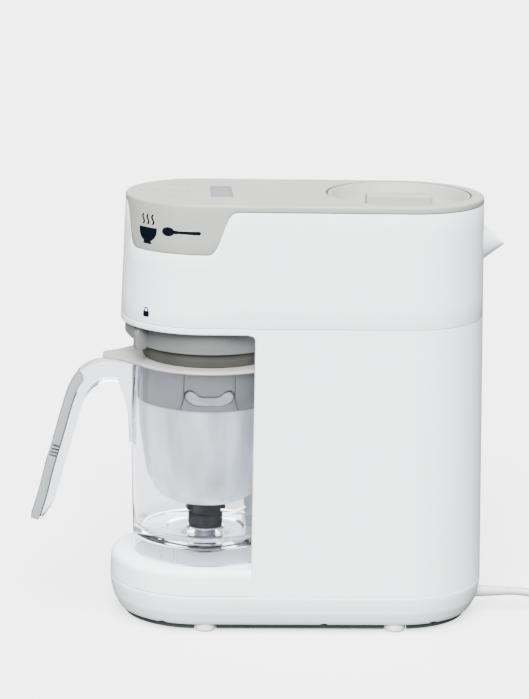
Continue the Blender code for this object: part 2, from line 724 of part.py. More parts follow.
def make_lead():
    gland = turned(
        "cord_gland",
        [(0, GLAND_LENGTH), (3.6, GLAND_LENGTH), (3.9, 12), (4.3, 3), (4.8, -2.6), (6.4, -2.6),
         (6.4, -5.5), (0, -5.5)],
        0, 0, LEAD, 14, closed=False,
    )
    gland.matrix_world = lying_at(CORD_START_X - GLAND_LENGTH - GAP, 0, CORD_Z, "Y")
    coil_y = COIL_RADIUS
    enter = COIL_X - 29.5
    route = [(CORD_START_X, 0, CORD_Z), (201, 0, 14.6), (210, 0, 12.0), (220, 0, 8.3), (230, 0, 4.9),
             (237, 0, CORD_LOW), (enter, 0, CORD_LOW)]
    tube("power_cord", smooth_route(route, 2), CORD_RADIUS, LEAD, 3)
    outer, inner = COIL_RADIUS + COIL_BAND, COIL_RADIUS - COIL_BAND
    turned(
        "cord_coil",
        [(outer, COIL_HEIGHT), (outer, 0.1), (inner, 0.1), (inner, COIL_HEIGHT)],
        COIL_X, coil_y, LEAD, 28,
    )
    tail_y = coil_y + 30.1
    sections = (
        (0, 4.6, 4.6), (16, 5.6, 5.4), (24, 11.0, 8.6), (30, 14.0, 9.8), (44, 14.0, 9.8), (46, 12.8, 8.8)
    )
    rings = [plug_section(tail_y + along, half, high) for along, half, high in sections]
    plug = loft("plug", rings, LEAD)
    pins = rods("plug_pins", [(side * 9.5, 0, 2.4, 44, 65) for side in (-1, 1)], segments=12)
    pins.matrix_world = lying_at(PLUG_X, tail_y, PLUG_Z, "X")
    join(plug, pins)


clear_scene()
PARTS = new_collection("baby_food_maker")
CUTTERS = new_collection("cutters")

SHELL = material("white_shell", (0.80, 0.81, 0.82), 0.35)
COVER = material("warm_grey_cover", (0.62, 0.63, 0.60), 0.45)
KEY = material("key_grey", (0.62, 0.63, 0.60), 0.45)
GREY = material("mid_grey", (0.36, 0.38, 0.38), 0.45)
COLLAR = material("collar_grey", (0.36, 0.38, 0.38), 0.40)
DARK = material("dark_grey", (0.10, 0.10, 0.11), 0.6)
FOOT = material("foot_white", (0.78, 0.79, 0.80), 0.5)
STEEL = material("steel", (0.60, 0.60, 0.60), 0.3, 1.0)
ALUMINIUM = material("aluminium", (0.75, 0.75, 0.76), 0.35, 1.0)
WINDOW = material("display_grey", (0.48, 0.50, 0.52), 0.2)
BOARD = material("circuit_board", (0.03, 0.18, 0.08), 0.5)
TANK = material("tank_white", (0.75, 0.77, 0.78), 0.4)
RUBBER = material("dark_rubber", (0.07, 0.07, 0.06), 0.7)
SILICONE = material("silicone", (0.70, 0.70, 0.68), 0.5)
CLEAR = material("clear_plastic", (0.90, 0.92, 0.94), 0.08, 0.0, 0.25)
BASKET = material("frosted_basket", (0.66, 0.70, 0.72), 0.4, 0.0, 0.8)
BAND = material("basket_band_grey", (0.52, 0.54, 0.54), 0.45)
LID = material("lid_grey", (0.58, 0.60, 0.59), 0.4)
HUB = material("hub_charcoal", (0.05, 0.05, 0.07), 0.4)
PLASTIC = material("black_plastic", (0.04, 0.04, 0.04), 0.5)
LEAD = material("lead_white", (0.80, 0.81, 0.82), 0.45)

make_base()
make_tower()
make_head()
make_spout()
make_water_system()
make_cap()
make_jug()
make_blade()
make_drive()
make_lead()
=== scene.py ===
"""The looks of the baby food maker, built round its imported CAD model.

Lengths are in millimetres in the model's frame, and MM turns them into metres: +X runs from the jug's
handle to the water tank, the camera stands on the -Y side, and z = 0 is the surface that it stands on.
Places come from the CAD nodes' boxes; the constants add what a box doesn't say.
"""

import json
from math import acos, atan2, cos, degrees, dist, pi, radians, sin, tan

import bmesh
import bpy
from mathutils import Matrix, Vector


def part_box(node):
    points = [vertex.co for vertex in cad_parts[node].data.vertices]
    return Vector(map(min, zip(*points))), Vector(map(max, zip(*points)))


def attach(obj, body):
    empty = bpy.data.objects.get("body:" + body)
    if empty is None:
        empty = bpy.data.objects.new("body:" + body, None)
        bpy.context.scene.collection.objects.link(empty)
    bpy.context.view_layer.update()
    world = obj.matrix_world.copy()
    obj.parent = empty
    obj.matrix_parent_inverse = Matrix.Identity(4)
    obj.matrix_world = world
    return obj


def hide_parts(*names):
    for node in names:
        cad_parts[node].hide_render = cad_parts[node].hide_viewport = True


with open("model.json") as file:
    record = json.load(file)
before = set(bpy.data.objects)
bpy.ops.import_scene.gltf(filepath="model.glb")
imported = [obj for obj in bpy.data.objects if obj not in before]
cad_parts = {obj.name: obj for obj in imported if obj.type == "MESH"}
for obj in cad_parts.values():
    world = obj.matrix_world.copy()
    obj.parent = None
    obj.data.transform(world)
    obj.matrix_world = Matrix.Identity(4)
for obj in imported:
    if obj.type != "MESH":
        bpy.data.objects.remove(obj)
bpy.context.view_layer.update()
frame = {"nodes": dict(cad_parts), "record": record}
MM = 0.001


def box_mm(node):
    low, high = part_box(node)
    return low / MM, high / MM


def middle_of(node):
    low, high = box_mm(node)
    return (low.x + high.x) / 2, (low.y + high.y) / 2


TOWER = box_mm("tower_housing")
HEAD = box_mm("head_shell")
COVER = box_mm("top_cover")
TRAY = box_mm("base_tray")
JUG = box_mm("jug")
BAND = box_mm("basket_band")
BOWL = box_mm("basket_bowl")
JUG_LID = box_mm("jug_lid")
LEVER = box_mm("lock_lever")
SEAL = box_mm("cap_seal")
HUB = box_mm("blade_hub")
TANK = box_mm("water_tank")
TANK_LID = box_mm("tank_lid")
WINDOW = box_mm("display_window")
SPOUT = box_mm("drain_spout")
PLUG = box_mm("plug")
GLAND = box_mm("cord_gland")

GAP = 0.3  # between neighbouring shells
HEIGHT = COVER[1].z
RIM = HEAD[1].z + GAP  # underside of the cover's edge
FLAP_BOTTOM = COVER[0].z
BASE_SEAM = TOWER[0].z
HEAD_SEAM = TOWER[1].z
BACK_X = TOWER[1].x - TOWER[1].y  # centre of the rear half circle of the plan
JUG_X = middle_of("basket_band")[0]  # the axis of the jug, the collar and the drive
TANK_X = middle_of("water_tank")[0]
PLUG_X = middle_of("plug")[0]
WALL = 2.5  # of the housing's shells

# The jug's bay
DECK = 50.5  # top of the platform
BAY_TOP = 232.5
BAY_EDGE = -11.0  # the tower's two front edges
BAY_RADIUS = 66.0  # of the hollow behind the jug
BAY_CORNER = 5.0  # fillet where those edges meet the head
DECK_EDGE = 5.5  # radius of the platform's upper edge
COLLAR_HOLE = 57.5  # radius in the bay's ceiling
SPINDLE_HOLE = 12.5  # radius in the platform

# The badge flap on the near side, measured along that side from the front half circle's end
FLAP_RAMP = 23.0
FLAP_LEFT = -61.0
FLAP_RIGHT = 0.0
SIGN = (-48.3, 308.3, 1.10)  # place along the side, height and scale of the flap's sign
LOCK_SIGN = (-47.0, 245.5)  # place along the side and height of the padlock

# Base
TRAY_LIP = 13.0  # from the outline to the inner edge of the tray's foot
PLATE_INSET = 12.0  # of the plate under the tray
NOTCHES = (-77.5, 45.5, 129.5)  # prying notches in the tray's lower edge, on the near side
FOOT_RADIUS = 8.5
FOOT_POCKET = 10.0

# Jug and basket
FLOOR_TOP = 67.5  # inside the jug
BLADE_Z = 75.6
BAND_OUTSIDE = 54.6  # radius of the basket's band
FINGER_Z = 182.4  # middle of the basket's finger hole

# Mains lead: its route from the gland to the floor, and the coil that it is laid in
LEAD_RADIUS = 3.25
LEAD_ROUTE = (
    (0.194, 0, 0.0155), (0.202, 0, 0.0152), (0.211, 0, 0.0138), (0.221, 0, 0.0106),
    (0.231, 0, 0.0067), (0.239, 0, 0.0043), (0.2455, 0, 0.00335),
)
COIL_CENTRE = (272.0, 38.0)
COIL_PITCH = 6.7  # between neighbouring turns
COIL_MEAN = 38.0
LAYERS = (3.35, 9.95)
COIL_TURNS = 3.25


# ---- Shapes ----


def mix(a, b, share):
    return a + (b - a) * share


def smooth(share):
    share = min(max(share, 0.0), 1.0)
    return share * share * (3 - 2 * share)


def arc(x, y, radius, start, end, steps):
    """Points of an arc from one angle to another, in degrees."""
    angles = [radians(mix(start, end, i / steps)) for i in range(steps + 1)]
    return [(x + radius * cos(a), y + radius * sin(a)) for a in angles]


def filleted(corners, closed=True, steps=5):
    """An outline through (x, y) or (x, y, radius) corners, with those that have a radius rounded."""
    points = []
    for i, corner in enumerate(corners):
        here, radius = Vector(corner[:2]), corner[2] if len(corner) > 2 else 0
        at_end = not closed and i in (0, len(corners) - 1)
        if not radius or at_end:
            points.append(tuple(here))
            continue
        before = Vector(corners[i - 1][:2]) - here
        after = Vector(corners[(i + 1) % len(corners)][:2]) - here
        half = before.angle(after) / 2
        reach = min(radius / tan(half), 0.48 * before.length, 0.48 * after.length)
        middle = (before.normalized() + after.normalized()).normalized()
        centre = here + middle * reach / cos(half)
        start = here + before.normalized() * reach - centre
        end = here + after.normalized() * reach - centre
        first = atan2(start.y, start.x)
        turn = (atan2(end.y, end.x) - first + pi) % (2 * pi) - pi
        for j in range(steps + 1):
            angle = first + turn * j / steps
            points.append((centre.x + start.length * cos(angle), centre.y + start.length * sin(angle)))
    return points


def curve_through(points, pieces):
    """Points along a smooth curve (Catmull-Rom) through the given ones."""
    route = [Vector(p) for p in points]
    padded = [2 * route[0] - route[1], *route, 2 * route[-1] - route[-2]]
    found = []
    for a, b, c, d in zip(padded, padded[1:], padded[2:], padded[3:]):
        for i in range(pieces):
            t = i / pieces
            found.append(0.5 * (2 * b + (c - a) * t + (2 * a - 5 * b + 4 * c - d) * t**2
                                + (3 * b - a - 3 * c + d) * t**3))
    return found + [route[-1]]


def lengths_along(points):
    total = [0.0]
    for a, b in zip(points, points[1:]):
        total.append(total[-1] + dist(a, b))
    return total


def sampled(points, shares):
    """The points of a line at the given shares of its length."""
    along = lengths_along(points)
    found, i = [], 0
    for share in shares:
        want = share * along[-1]
        while i < len(points) - 2 and along[i + 1] < want:
            i += 1
        part = (want - along[i]) / (along[i + 1] - along[i])
        found.append(tuple(mix(a, b, part) for a, b in zip(points[i], points[i + 1])))
    return found


def linked(name, data):
    made = bpy.data.objects.new(name, data)
    bpy.context.scene.collection.objects.link(made)
    return made


def new_object(name, bm):
    mesh = bpy.data.meshes.new(name)
    bm.to_mesh(mesh)
    bm.free()
    return linked(name, mesh)


def skin(name, rows, closed=False, caps=(True, True)):
    """A surface through rows of points, each a closed ring. The rows themselves may close, or be capped."""
    bm = bmesh.new()
    rings = [[bm.verts.new(Vector(point) * MM) for point in row] for row in rows]
    for low, high in zip(rings, rings[1:] + rings[:1] if closed else rings[1:]):
        for i in range(len(low)):
            j = (i + 1) % len(low)
            bm.faces.new((low[i], low[j], high[j], high[i]))
    for ring, capped in zip((rings[0], rings[-1]), caps):
        if capped and not closed:
            bm.faces.new(ring)
    bmesh.ops.remove_doubles(bm, verts=bm.verts, dist=2e-6)
    bmesh.ops.dissolve_degenerate(bm, edges=bm.edges, dist=1e-6)
    bmesh.ops.recalc_face_normals(bm, faces=bm.faces)
    return new_object(name, bm)


def turned(name, profile, x, y=0.0, steps=96, closed=True):
    """A profile of (radius, height) turned about an upright axis, or one that starts and ends on it."""
    angles = [2 * pi * i / steps for i in range(steps)]
    rows = [[(x + r * cos(a), y + r * sin(a), z) for a in angles] for r, z in profile]
    return skin(name, rows, closed, (False, False))


def turned_solid(name, corners, x, y=0.0, steps=96, fillet=5):
    """A solid turned from (radius, height) corners, some with a fillet, that start and end on its axis."""
    return turned(name, filleted(corners, closed=False, steps=fillet), x, y, steps, closed=False)


def settle(made):
    """Turns a piece's modifiers into its mesh."""
    bpy.context.view_layer.update()
    graph = bpy.context.evaluated_depsgraph_get()
    mesh = bpy.data.meshes.new_from_object(made.evaluated_get(graph))
    made.modifiers.clear()
    made.data = mesh
    return made


def bevelled(made, width, segments=3):
    edge = made.modifiers.new("Edge", "BEVEL")
    edge.width, edge.segments = width * MM, segments
    edge.limit_method, edge.angle_limit = "ANGLE", radians(35)
    return settle(made)


def carve(target, tool, operation="DIFFERENCE"):
    """Cuts the tool out of the target, or joins it on, and uses the tool up."""
    step = target.modifiers.new(operation, "BOOLEAN")
    step.operation, step.object, step.solver = operation, tool, "EXACT"
    settle(target)
    bpy.data.objects.remove(tool)


def prism(name, points, half, edge=0.0, y=0.0):
    """An outline of (x, z) points with thickness along Y."""
    made = skin(name, [[(px, y + side * half, pz) for px, pz in points] for side in (-1, 1)])
    return bevelled(made, edge) if edge else made


def slab(name, points, bottom, top, edge=0.0):
    """An outline of (x, y) points with thickness along Z."""
    made = skin(name, [[(px, py, z) for px, py in points] for z in (bottom, top)])
    return bevelled(made, edge) if edge else made


def block(name, low, high, edge=0.0):
    points = [(low[0], low[1]), (high[0], low[1]), (high[0], high[1]), (low[0], high[1])]
    return slab(name, points, low[2], high[2], edge)


def rod(name, x, y, radius, bottom, top, steps=48):
    return slab(name, arc(x, y, radius, 0, 360 - 360 / steps, steps - 1), bottom, top)


def placed(made, matrix):
    made.data.transform(matrix)
    return made


def about_jug(made, angle):
    """Turns a piece drawn along +X by the given degrees and moves it to the jug's axis."""
    turn = Matrix.Rotation(radians(angle), 4, "Z")
    return placed(made, Matrix.Translation(Vector((JUG_X * MM, 0, 0))) @ turn)


def about_axis(radius, angle, z):
    return (JUG_X + radius * cos(angle), radius * sin(angle), z)


def along_axis(x, y, z, axis):
    """Lays an upright piece along +X (axis "Y") or +Y (axis "X"), from the given point."""
    turn = Matrix.Rotation(pi / 2 if axis == "Y" else -pi / 2, 4, axis)
    return Matrix.Translation(Vector((x, y, z)) * MM) @ turn


def show(made, finish, body, slot, *stands_for, sharp=35, even=False):
    """Gives a piece its material and shading and the body it rides on, and hides the nodes it stands for.
    """
    made.data.materials.clear()
    made.data.materials.append(finish)
    if made.type == "MESH":
        made.data.shade_smooth()
        made.data.set_sharp_from_angle(angle=radians(sharp))
    if even:
        weigh = made.modifiers.new("Even", "WEIGHTED_NORMAL")
        weigh.keep_sharp = True
    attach(made, body)
    if stands_for:
        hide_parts(*stands_for)
    return made


# ---- Materials ----


def set_inputs(node, **values):
    """Sets a node's sockets, with _ for the spaces in their names."""
    for socket, value in values.items():
        node.inputs[socket.replace("_", " ")].default_value = value


def material(name, colour, roughness, metallic=0.0, vary=0.03, patch=35.0, grain=0.5, depth=0.003,
             uneven=0.04, stretch=(1, 1, 1), tilt=0.0, specular=0.5, clear=0.0, **sockets):
    """A moulded or machined finish, with random patches of tone, which on the frosted basket are painted
    shading. Sizes of its patches and grain, and the grain's depth, are in mm.
    """
    made = bpy.data.materials.new(name)
    made.use_nodes = True
    nodes, links = made.node_tree.nodes, made.node_tree.links
    shader = nodes["Principled BSDF"]
    set_inputs(shader, Metallic=metallic, Specular_IOR_Level=specular, Transmission_Weight=clear, **sockets)
    place = nodes.new("ShaderNodeTexCoord")
    scale = nodes.new("ShaderNodeMapping")
    set_inputs(scale, Scale=stretch, Rotation=(0, radians(tilt), 0))
    links.new(place.outputs["Object"], scale.inputs["Vector"])

    def noise(size, detail):
        texture = nodes.new("ShaderNodeTexNoise")
        set_inputs(texture, Scale=1 / (size * MM), Detail=detail)
        links.new(scale.outputs["Vector"], texture.inputs["Vector"])
        return texture.outputs["Fac"]

    cloud, fine = noise(patch, 3), noise(grain, 2)
    tint = nodes.new("ShaderNodeValToRGB")
    for element, at, sign in zip(tint.color_ramp.elements, (0.3, 0.7), (-1, 1)):
        element.position = at
        element.color = (*(min(c * (1 + sign * vary), 1) for c in colour), 1)
    links.new(cloud, tint.inputs["Fac"])
    links.new(tint.outputs["Color"], shader.inputs["Base Color"])
    gloss = nodes.new("ShaderNodeMapRange")
    set_inputs(gloss, From_Min=0.3, From_Max=0.7, To_Min=max(roughness - uneven, 0.0),
               To_Max=roughness + uneven)
    links.new(fine, gloss.inputs["Value"])
    links.new(gloss.outputs["Result"], shader.inputs["Roughness"])
    relief = nodes.new("ShaderNodeBump")
    set_inputs(relief, Strength=1.0, Distance=depth * MM)
    links.new(fine, relief.inputs["Height"])
    links.new(relief.outputs["Normal"], shader.inputs["Normal"])
    return made


WHITE = material("shell_white", (0.765, 0.80, 0.825), 0.5, vary=0.012, patch=60, specular=0.06)
WARM = material("cover_warm_grey", (0.258, 0.271, 0.249), 0.5, vary=0.02, grain=0.35, depth=0.006,
                specular=0.2)
COLLAR = material("collar_grey", (0.115, 0.121, 0.12), 0.42, grain=0.4, specular=0.25)
LID_GREY = material("lid_grey", (0.25, 0.26, 0.257), 0.38, vary=0.02, Subsurface_Weight=0.1)
BAND_GREY = material("band_grey", (0.125, 0.135, 0.136), 0.42, specular=0.2)
STRIP_GREY = material("strip_grey", (0.195, 0.21, 0.215), 0.55, grain=0.3, depth=0.01)
# Dark grey plastic of the plate under the base, also used as painted shadow in the gap round the tank lid.
DARK = material("dark_plastic_and_gap_shade", (0.030, 0.037, 0.034), 0.6, vary=0.1, specular=0.15)
SEAM = material("seam_shadow", (0.085, 0.09, 0.092), 0.8, vary=0.05, specular=0.1)
RUBBER = material("seal_rubber", (0.046, 0.046, 0.041), 0.55, vary=0.15, grain=0.3, depth=0.01,
                  specular=0.12)
FOOT = material("foot_rubber", (0.70, 0.725, 0.74), 0.6, grain=0.3, depth=0.012)
CLEAR = material("clear_plastic", (0.79, 0.80, 0.84), 0.045, vary=0.006, uneven=0.015, patch=25,
                 grain=18, depth=0.02, clear=1.0, IOR=1.20)
MILKY = material("milky_plastic", (0.60, 0.62, 0.655), 0.08, vary=0.02, uneven=0.03, patch=12,
                 grain=9, depth=0.05, clear=0.92, IOR=1.30)
# The basket's strong slanted streaks of lighter and darker teal are painted shading and reflection.
FROSTED = material("frosted_plastic", (0.60, 0.655, 0.68), 0.42, vary=0.30, patch=17, uneven=0.06,
                   stretch=(1, 1, 0.22), tilt=12, clear=0.5, IOR=1.2, specular=0.3)
BOSS = material("boss_grey", (0.16, 0.185, 0.20), 0.4, vary=0.05, specular=0.2)
# A near-black used as painted shade in grooves and recesses, and along the handle insert's edge.
EDGE = material("moulding_shadow", (0.022, 0.024, 0.028), 0.5, vary=0.05, specular=0.1)
SCOOP = material("scoop_frosted", (0.33, 0.36, 0.40), 0.3, vary=0.12, patch=5, specular=0.4)
HUB_GREY = material("hub_charcoal", (0.009, 0.009, 0.0115), 0.4, vary=0.1, specular=0.05)
STEEL = material("brushed_steel", (0.42, 0.42, 0.43), 0.24, 1.0, vary=0.05, grain=0.4, depth=0.004,
                 stretch=(0.15, 1, 1))
BRIGHT = material("bright_steel", (0.85, 0.85, 0.86), 0.12, 1.0, vary=0.02)
ALLOY = material("cast_alloy", (0.60, 0.61, 0.62), 0.42, 1.0, vary=0.06, grain=0.8, depth=0.02)
COPPER = material("winding_copper", (0.55, 0.24, 0.12), 0.35, 1.0, vary=0.1)
BOARD = material("board_green", (0.02, 0.12, 0.05), 0.45, vary=0.15, patch=6)
BLACK = material("black_plastic", (0.02, 0.02, 0.02), 0.5, vary=0.1)
TANK_WHITE = material("tank_milky", (0.62, 0.66, 0.68), 0.35, vary=0.02, clear=0.15)
SILICONE = material("silicone", (0.55, 0.55, 0.52), 0.5, vary=0.04)
LCD = material("display_grey", (0.152, 0.158, 0.167), 0.22, vary=0.02, patch=4, Coat_Weight=0.3)
LCD_EDGE = material("display_edge", (0.13, 0.137, 0.14), 0.35, vary=0.04)
MARK = material("key_marks", (0.232, 0.243, 0.224), 0.5)
NAVY = material("print_navy", (0.0022, 0.0036, 0.0065), 0.6, vary=0.1, patch=8, specular=0.0)
LEAD = material("lead_white", (0.44, 0.46, 0.485), 0.42, vary=0.02, grain=0.3, depth=0.004)

SLOT_FINISHES = {
    "white_shell": WHITE, "warm_grey_cover": WARM, "mid_grey": COLLAR, "dark_grey": DARK,
    "foot_white": FOOT, "steel": STEEL, "aluminium": ALLOY, "display_grey": LCD,
    "circuit_board": BOARD, "tank_white": TANK_WHITE, "dark_rubber": RUBBER, "silicone": SILICONE,
    "clear_plastic": CLEAR, "frosted_basket": FROSTED, "band_grey": BAND_GREY, "lid_grey": LID_GREY,
    "hub_charcoal": HUB_GREY, "black_plastic": BLACK, "lead_white": LEAD,
}


def finish_cad_nodes():
    """Gives every node that stays visible the finish of its slot in the record."""
    slots = {part["node"]: part["material_slot"] for part in frame["record"]["subparts"]}
    for name, node in frame["nodes"].items():
        finish = COPPER if name == "motor_rotor" else SLOT_FINISHES[slots[name]]
        if not node.material_slots:
            node.data.materials.append(finish)
        for place in node.material_slots:
            place.material = finish


# ---- The housing's plan ----


def at_height(z, low, high):
    """A measure of the housing at height z: low at the base's seam, high at the head's foot."""
    return mix(low, high, (z - BASE_SEAM) / (HEAD[0].z - BASE_SEAM))


def half_width(z):
    return at_height(z, TOWER[1].y, HEAD[1].y)


def front_centre(z):
    return at_height(z, TOWER[0].x + TOWER[1].y, HEAD[0].x + HEAD[1].y)


def plan(z, inset=0.0, steps=46):
    radius = half_width(z) - inset
    back = arc(BACK_X, 0, radius, -90, 90, steps)
    return back + arc(front_centre(z), 0, radius, 90, 270, steps)


def plan_skin(name, section, closed=False):
    """A block with the housing's plan at each (inset, z), or a closed ring with that cross-section."""
    return skin(name, [[(x, y, z) for x, y in plan(z, inset)] for inset, z in section], closed)


# ---- Base and tower ----


def seam_liner(name, bottom, top):
    """The shadow in a seam of the housing, as a narrow band just behind its surface."""
    liner = plan_skin(name, [(0.5, bottom), (0.5, top), (2.0, top), (2.0, bottom)], closed=True)
    show(liner, SEAM, "housing", "dark_grey")


def make_base():
    """The tray with its notches, the recessed plate under it, and the feet in the plate's pockets."""
    low, high = TRAY[0].z, TRAY[1].z
    tray = plan_skin("lower_tray", filleted([
        (TRAY_LIP, low + 0.8), (8.4, low + 0.8, 0.9), (6.4, 9.2, 14), (2.7, 16.5, 16), (0.7, 24.5, 16),
        (0, 28.5, 8), (0, high, 0.5), (WALL, high), (WALL + 2, 20), (TRAY_LIP, low + 5)]), closed=True)
    for x in NOTCHES:
        notch = arc(x, low - 2.9, 5.0, 0, 345, 23)
        carve(tray, prism("notch", notch, 15, y=-58))
    show(tray, WHITE, "housing", "white_shell", "base_tray")
    levels = [(1.5, 2.0), (0.2, 2.4), (0, 9.0)]
    under = plan_skin("under_plate", [(PLATE_INSET + inset, z) for inset, z in levels])
    seam_liner("base_seam_liner", BASE_SEAM - 0.6, BASE_SEAM + 0.3)
    for number in range(1, 5):
        x, y = middle_of(f"foot_{number}")
        pocket = [(0, 0), (FOOT_POCKET, 0), (FOOT_POCKET, 12), (0, 12)]
        carve(under, turned_solid("foot_pocket", pocket, x, y, 48))
        profile = [(0, 10), (FOOT_RADIUS, 10), (FOOT_RADIUS, 0, 2.6), (0, 0)]
        foot = turned_solid(f"foot_pad_{number}", profile, x, y, 48)
        show(foot, FOOT, "housing", "foot_white", f"foot_{number}")
    show(under, DARK, "housing", "dark_grey", "bottom_cover")


def hollow_run(z, edge):
    """The tower's front at height z, from the far side over both front faces and the hollow between."""
    side = half_width(z)
    angle = degrees(acos((edge - JUG_X) / BAY_RADIUS))
    mouth = arc(JUG_X, 0, BAY_RADIUS, angle, -angle, 60)
    corners = [(edge, side, 1.5), (*mouth[0], 1.2), *mouth[1:-1], (*mouth[-1], 1.2), (edge, -side, 1.5)]
    return filleted([(edge + 9, side), *corners, (edge + 9, -side)], closed=False)[1:-1]


def platform_run(z, inset, hollow):
    """The plan in front of the tower at height z, with as many points as the hollow's run has."""
    side = half_width(z)
    corner = [(x, side) for x, _ in hollow[:6]]
    start = min(x for x, _ in corner) - 0.2
    radius = side - inset
    path = [(start, radius), *arc(front_centre(z), 0, radius, 90, 270, 90), (start, -radius)]
    rest = lengths_along(hollow[6:-6])
    middle = sampled(path, [along / rest[-1] for along in rest])
    return corner + middle + [(x, -y) for x, y in reversed(corner)]


def rear_run(z):
    """The tower's sides and its back at height z, from the near side to the far side."""
    side = half_width(z)
    xs = [mix(BAY_EDGE + 4, BACK_X, i / 6) for i in range(6)]
    near = [(x, -side) for x in xs]
    return near + arc(BACK_X, 0, side, -90, 90, 46) + [(x, side) for x in reversed(xs)]


def make_tower():
    """The tower: rows of points from its foot up, each with the rear wall first and then the front."""
    rows = []

    def add(run, z, rear_z=None):
        rear_z = z if rear_z is None else rear_z
        rows.append([(x, y, rear_z) for x, y in rear_run(rear_z)] + [(x, y, z) for x, y in run])

    def platform(z, inset, rear_z=None, edge=BAY_EDGE):
        add(platform_run(z, inset, hollow_run(z, edge)), z, rear_z)

    platform(BASE_SEAM, 0.4)
    platform(BASE_SEAM + 0.4, 0)
    shoulder = DECK - DECK_EDGE
    for i in range(7):  # the platform's rounded edge
        angle = pi / 2 * i / 6
        platform(shoulder + DECK_EDGE * sin(angle), DECK_EDGE * (1 - cos(angle)), shoulder + 0.4 * i)
    platform(DECK, DECK_EDGE + 6, shoulder + 3)
    add(hollow_run(DECK, BAY_EDGE), DECK, shoulder + 3.5)
    add(hollow_run(DECK + 1, BAY_EDGE), DECK + 1)
    bend = BAY_TOP - BAY_CORNER
    for i in range(4):  # the bay's upright part
        z = mix(DECK + 12, bend - 5, i / 3)
        add(hollow_run(z, BAY_EDGE), z)
    for i in range(9):  # the fillet of the two front edges
        angle = pi / 2 * i / 8
        edge = BAY_EDGE - BAY_CORNER * (1 - cos(angle))
        z = bend + BAY_CORNER * sin(angle)
        add(hollow_run(z, edge), z)
    last_edge = BAY_EDGE - BAY_CORNER
    for i in range(4):  # the ceiling's rounded lower edge
        angle = pi / 2 * i / 3
        platform(BAY_TOP + 1 - cos(angle), 1 - sin(angle), BAY_TOP + 0.2 + 0.25 * i, last_edge)
    platform(HEAD_SEAM - 0.4, 0, edge=last_edge)
    platform(HEAD_SEAM, 0.4, edge=last_edge)
    tower = skin("tower_shell", rows)

    room = plan_skin("room", [(WALL, BASE_SEAM - 3), (WALL, HEAD_SEAM + 3)])
    reach = acos((BAY_EDGE + WALL - JUG_X) / (BAY_RADIUS + WALL))
    wall = arc(JUG_X, 0, BAY_RADIUS + WALL, -degrees(reach), degrees(reach), 60)
    outside = [(-140, -80), (BAY_EDGE + WALL, -80), *wall, (BAY_EDGE + WALL, 80), (-140, 80)]
    carve(room, slab("bay_wall", outside, DECK - WALL, HEAD_SEAM + 6))
    carve(tower, room)
    carve(tower, rod("collar_hole", JUG_X, 0, COLLAR_HOLE, BAY_TOP - 4, HEAD_SEAM + 4, 96))
    carve(tower, rod("deck_hole", JUG_X, 0, SPINDLE_HOLE, DECK - 6, DECK + 4))
    show(tower, WHITE, "housing", "white_shell", "tower_housing")


# ---- Head and cover ----


def flap_edge(s):
    """Height of the cover's lower edge at s mm along the near side."""
    away = max(FLAP_LEFT - s, s - FLAP_RIGHT, 0.0) / FLAP_RAMP
    rise = (1 - cos(pi * min(away, 1))) / 2
    return mix(FLAP_BOTTOM, RIM, mix(rise, smooth(rise), 0.75))


def rim_columns():
    """Columns round the housing: (kind, place, distance along the near side from the front arc)."""
    columns = [("back", mix(-90, 90, i / 46), None) for i in range(47)]
    columns += [("far", 1 - i / 8, None) for i in range(1, 8)]
    radius = half_width(RIM)
    columns += [("front", mix(90, 270, i / 72), -radians(180 - 2.5 * i) * radius) for i in range(73)]
    straight = BACK_X - front_centre(RIM)
    along = [2 * i for i in range(1, 13)] + [mix(24, straight, i / 8) for i in range(1, 8)]
    return columns + [("near", s / straight, s) for s in along]


def rim_point(column, z, inset):
    kind, place, _ = column
    radius = half_width(z) - inset
    if kind in ("back", "front"):
        x = BACK_X if kind == "back" else front_centre(z)
        return (x + radius * cos(radians(place)), radius * sin(radians(place)), z)
    return (mix(front_centre(z), BACK_X, place), radius if kind == "far" else -radius, z)


def rim_rows(profile, lower_edge):
    """Rows round the housing; profile gives (inset, z) for a column from the flap's edge there."""
    columns = rim_columns()
    edges = [lower_edge if s is None else min(flap_edge(s), lower_edge) for _, _, s in columns]
    sections = [profile(edge) for edge in edges]
    return [[rim_point(column, section[i][1], section[i][0]) for column, section in zip(columns, sections)]
            for i in range(len(sections[0]))]


def head_section(edge):
    low, top = HEAD[0].z, edge - 2 * GAP
    outer = [(0, mix(low + 0.5, top - 0.6, i / 5)) for i in range(6)]
    return [(WALL, low), (0.45, low), (0.12, low + 0.15), *outer, (0.15, top - 0.15), (0.6, top),
            (WALL, top), (WALL, mix(low, top, 0.5))]


def cover_section(edge):
    side = [(0, mix(edge + 0.5, HEIGHT - 2.0, i / 4)) for i in range(5)]
    turns = [pi / 2 * i / 5 for i in range(1, 6)]
    lip = [(2.0 * (1 - cos(turn)), HEIGHT - 2.0 + 2.0 * sin(turn)) for turn in turns]
    under = [(8, HEIGHT - 2.2), (2.2, HEIGHT - 2.4), (2.2, mix(edge, HEIGHT, 0.5)), (2.2, edge)]
    return under + [(0.5, edge), (0.12, edge + 0.15), *side, *lip, (8, HEIGHT)]


# The cross-section of a dark band in the gap under the cover's edge: painted shadow.
def gap_shade_section(edge):
    return [(1.3, edge - 1.4), (1.3, edge + 0.4), (2.1, edge + 0.4), (2.1, edge - 1.4)]


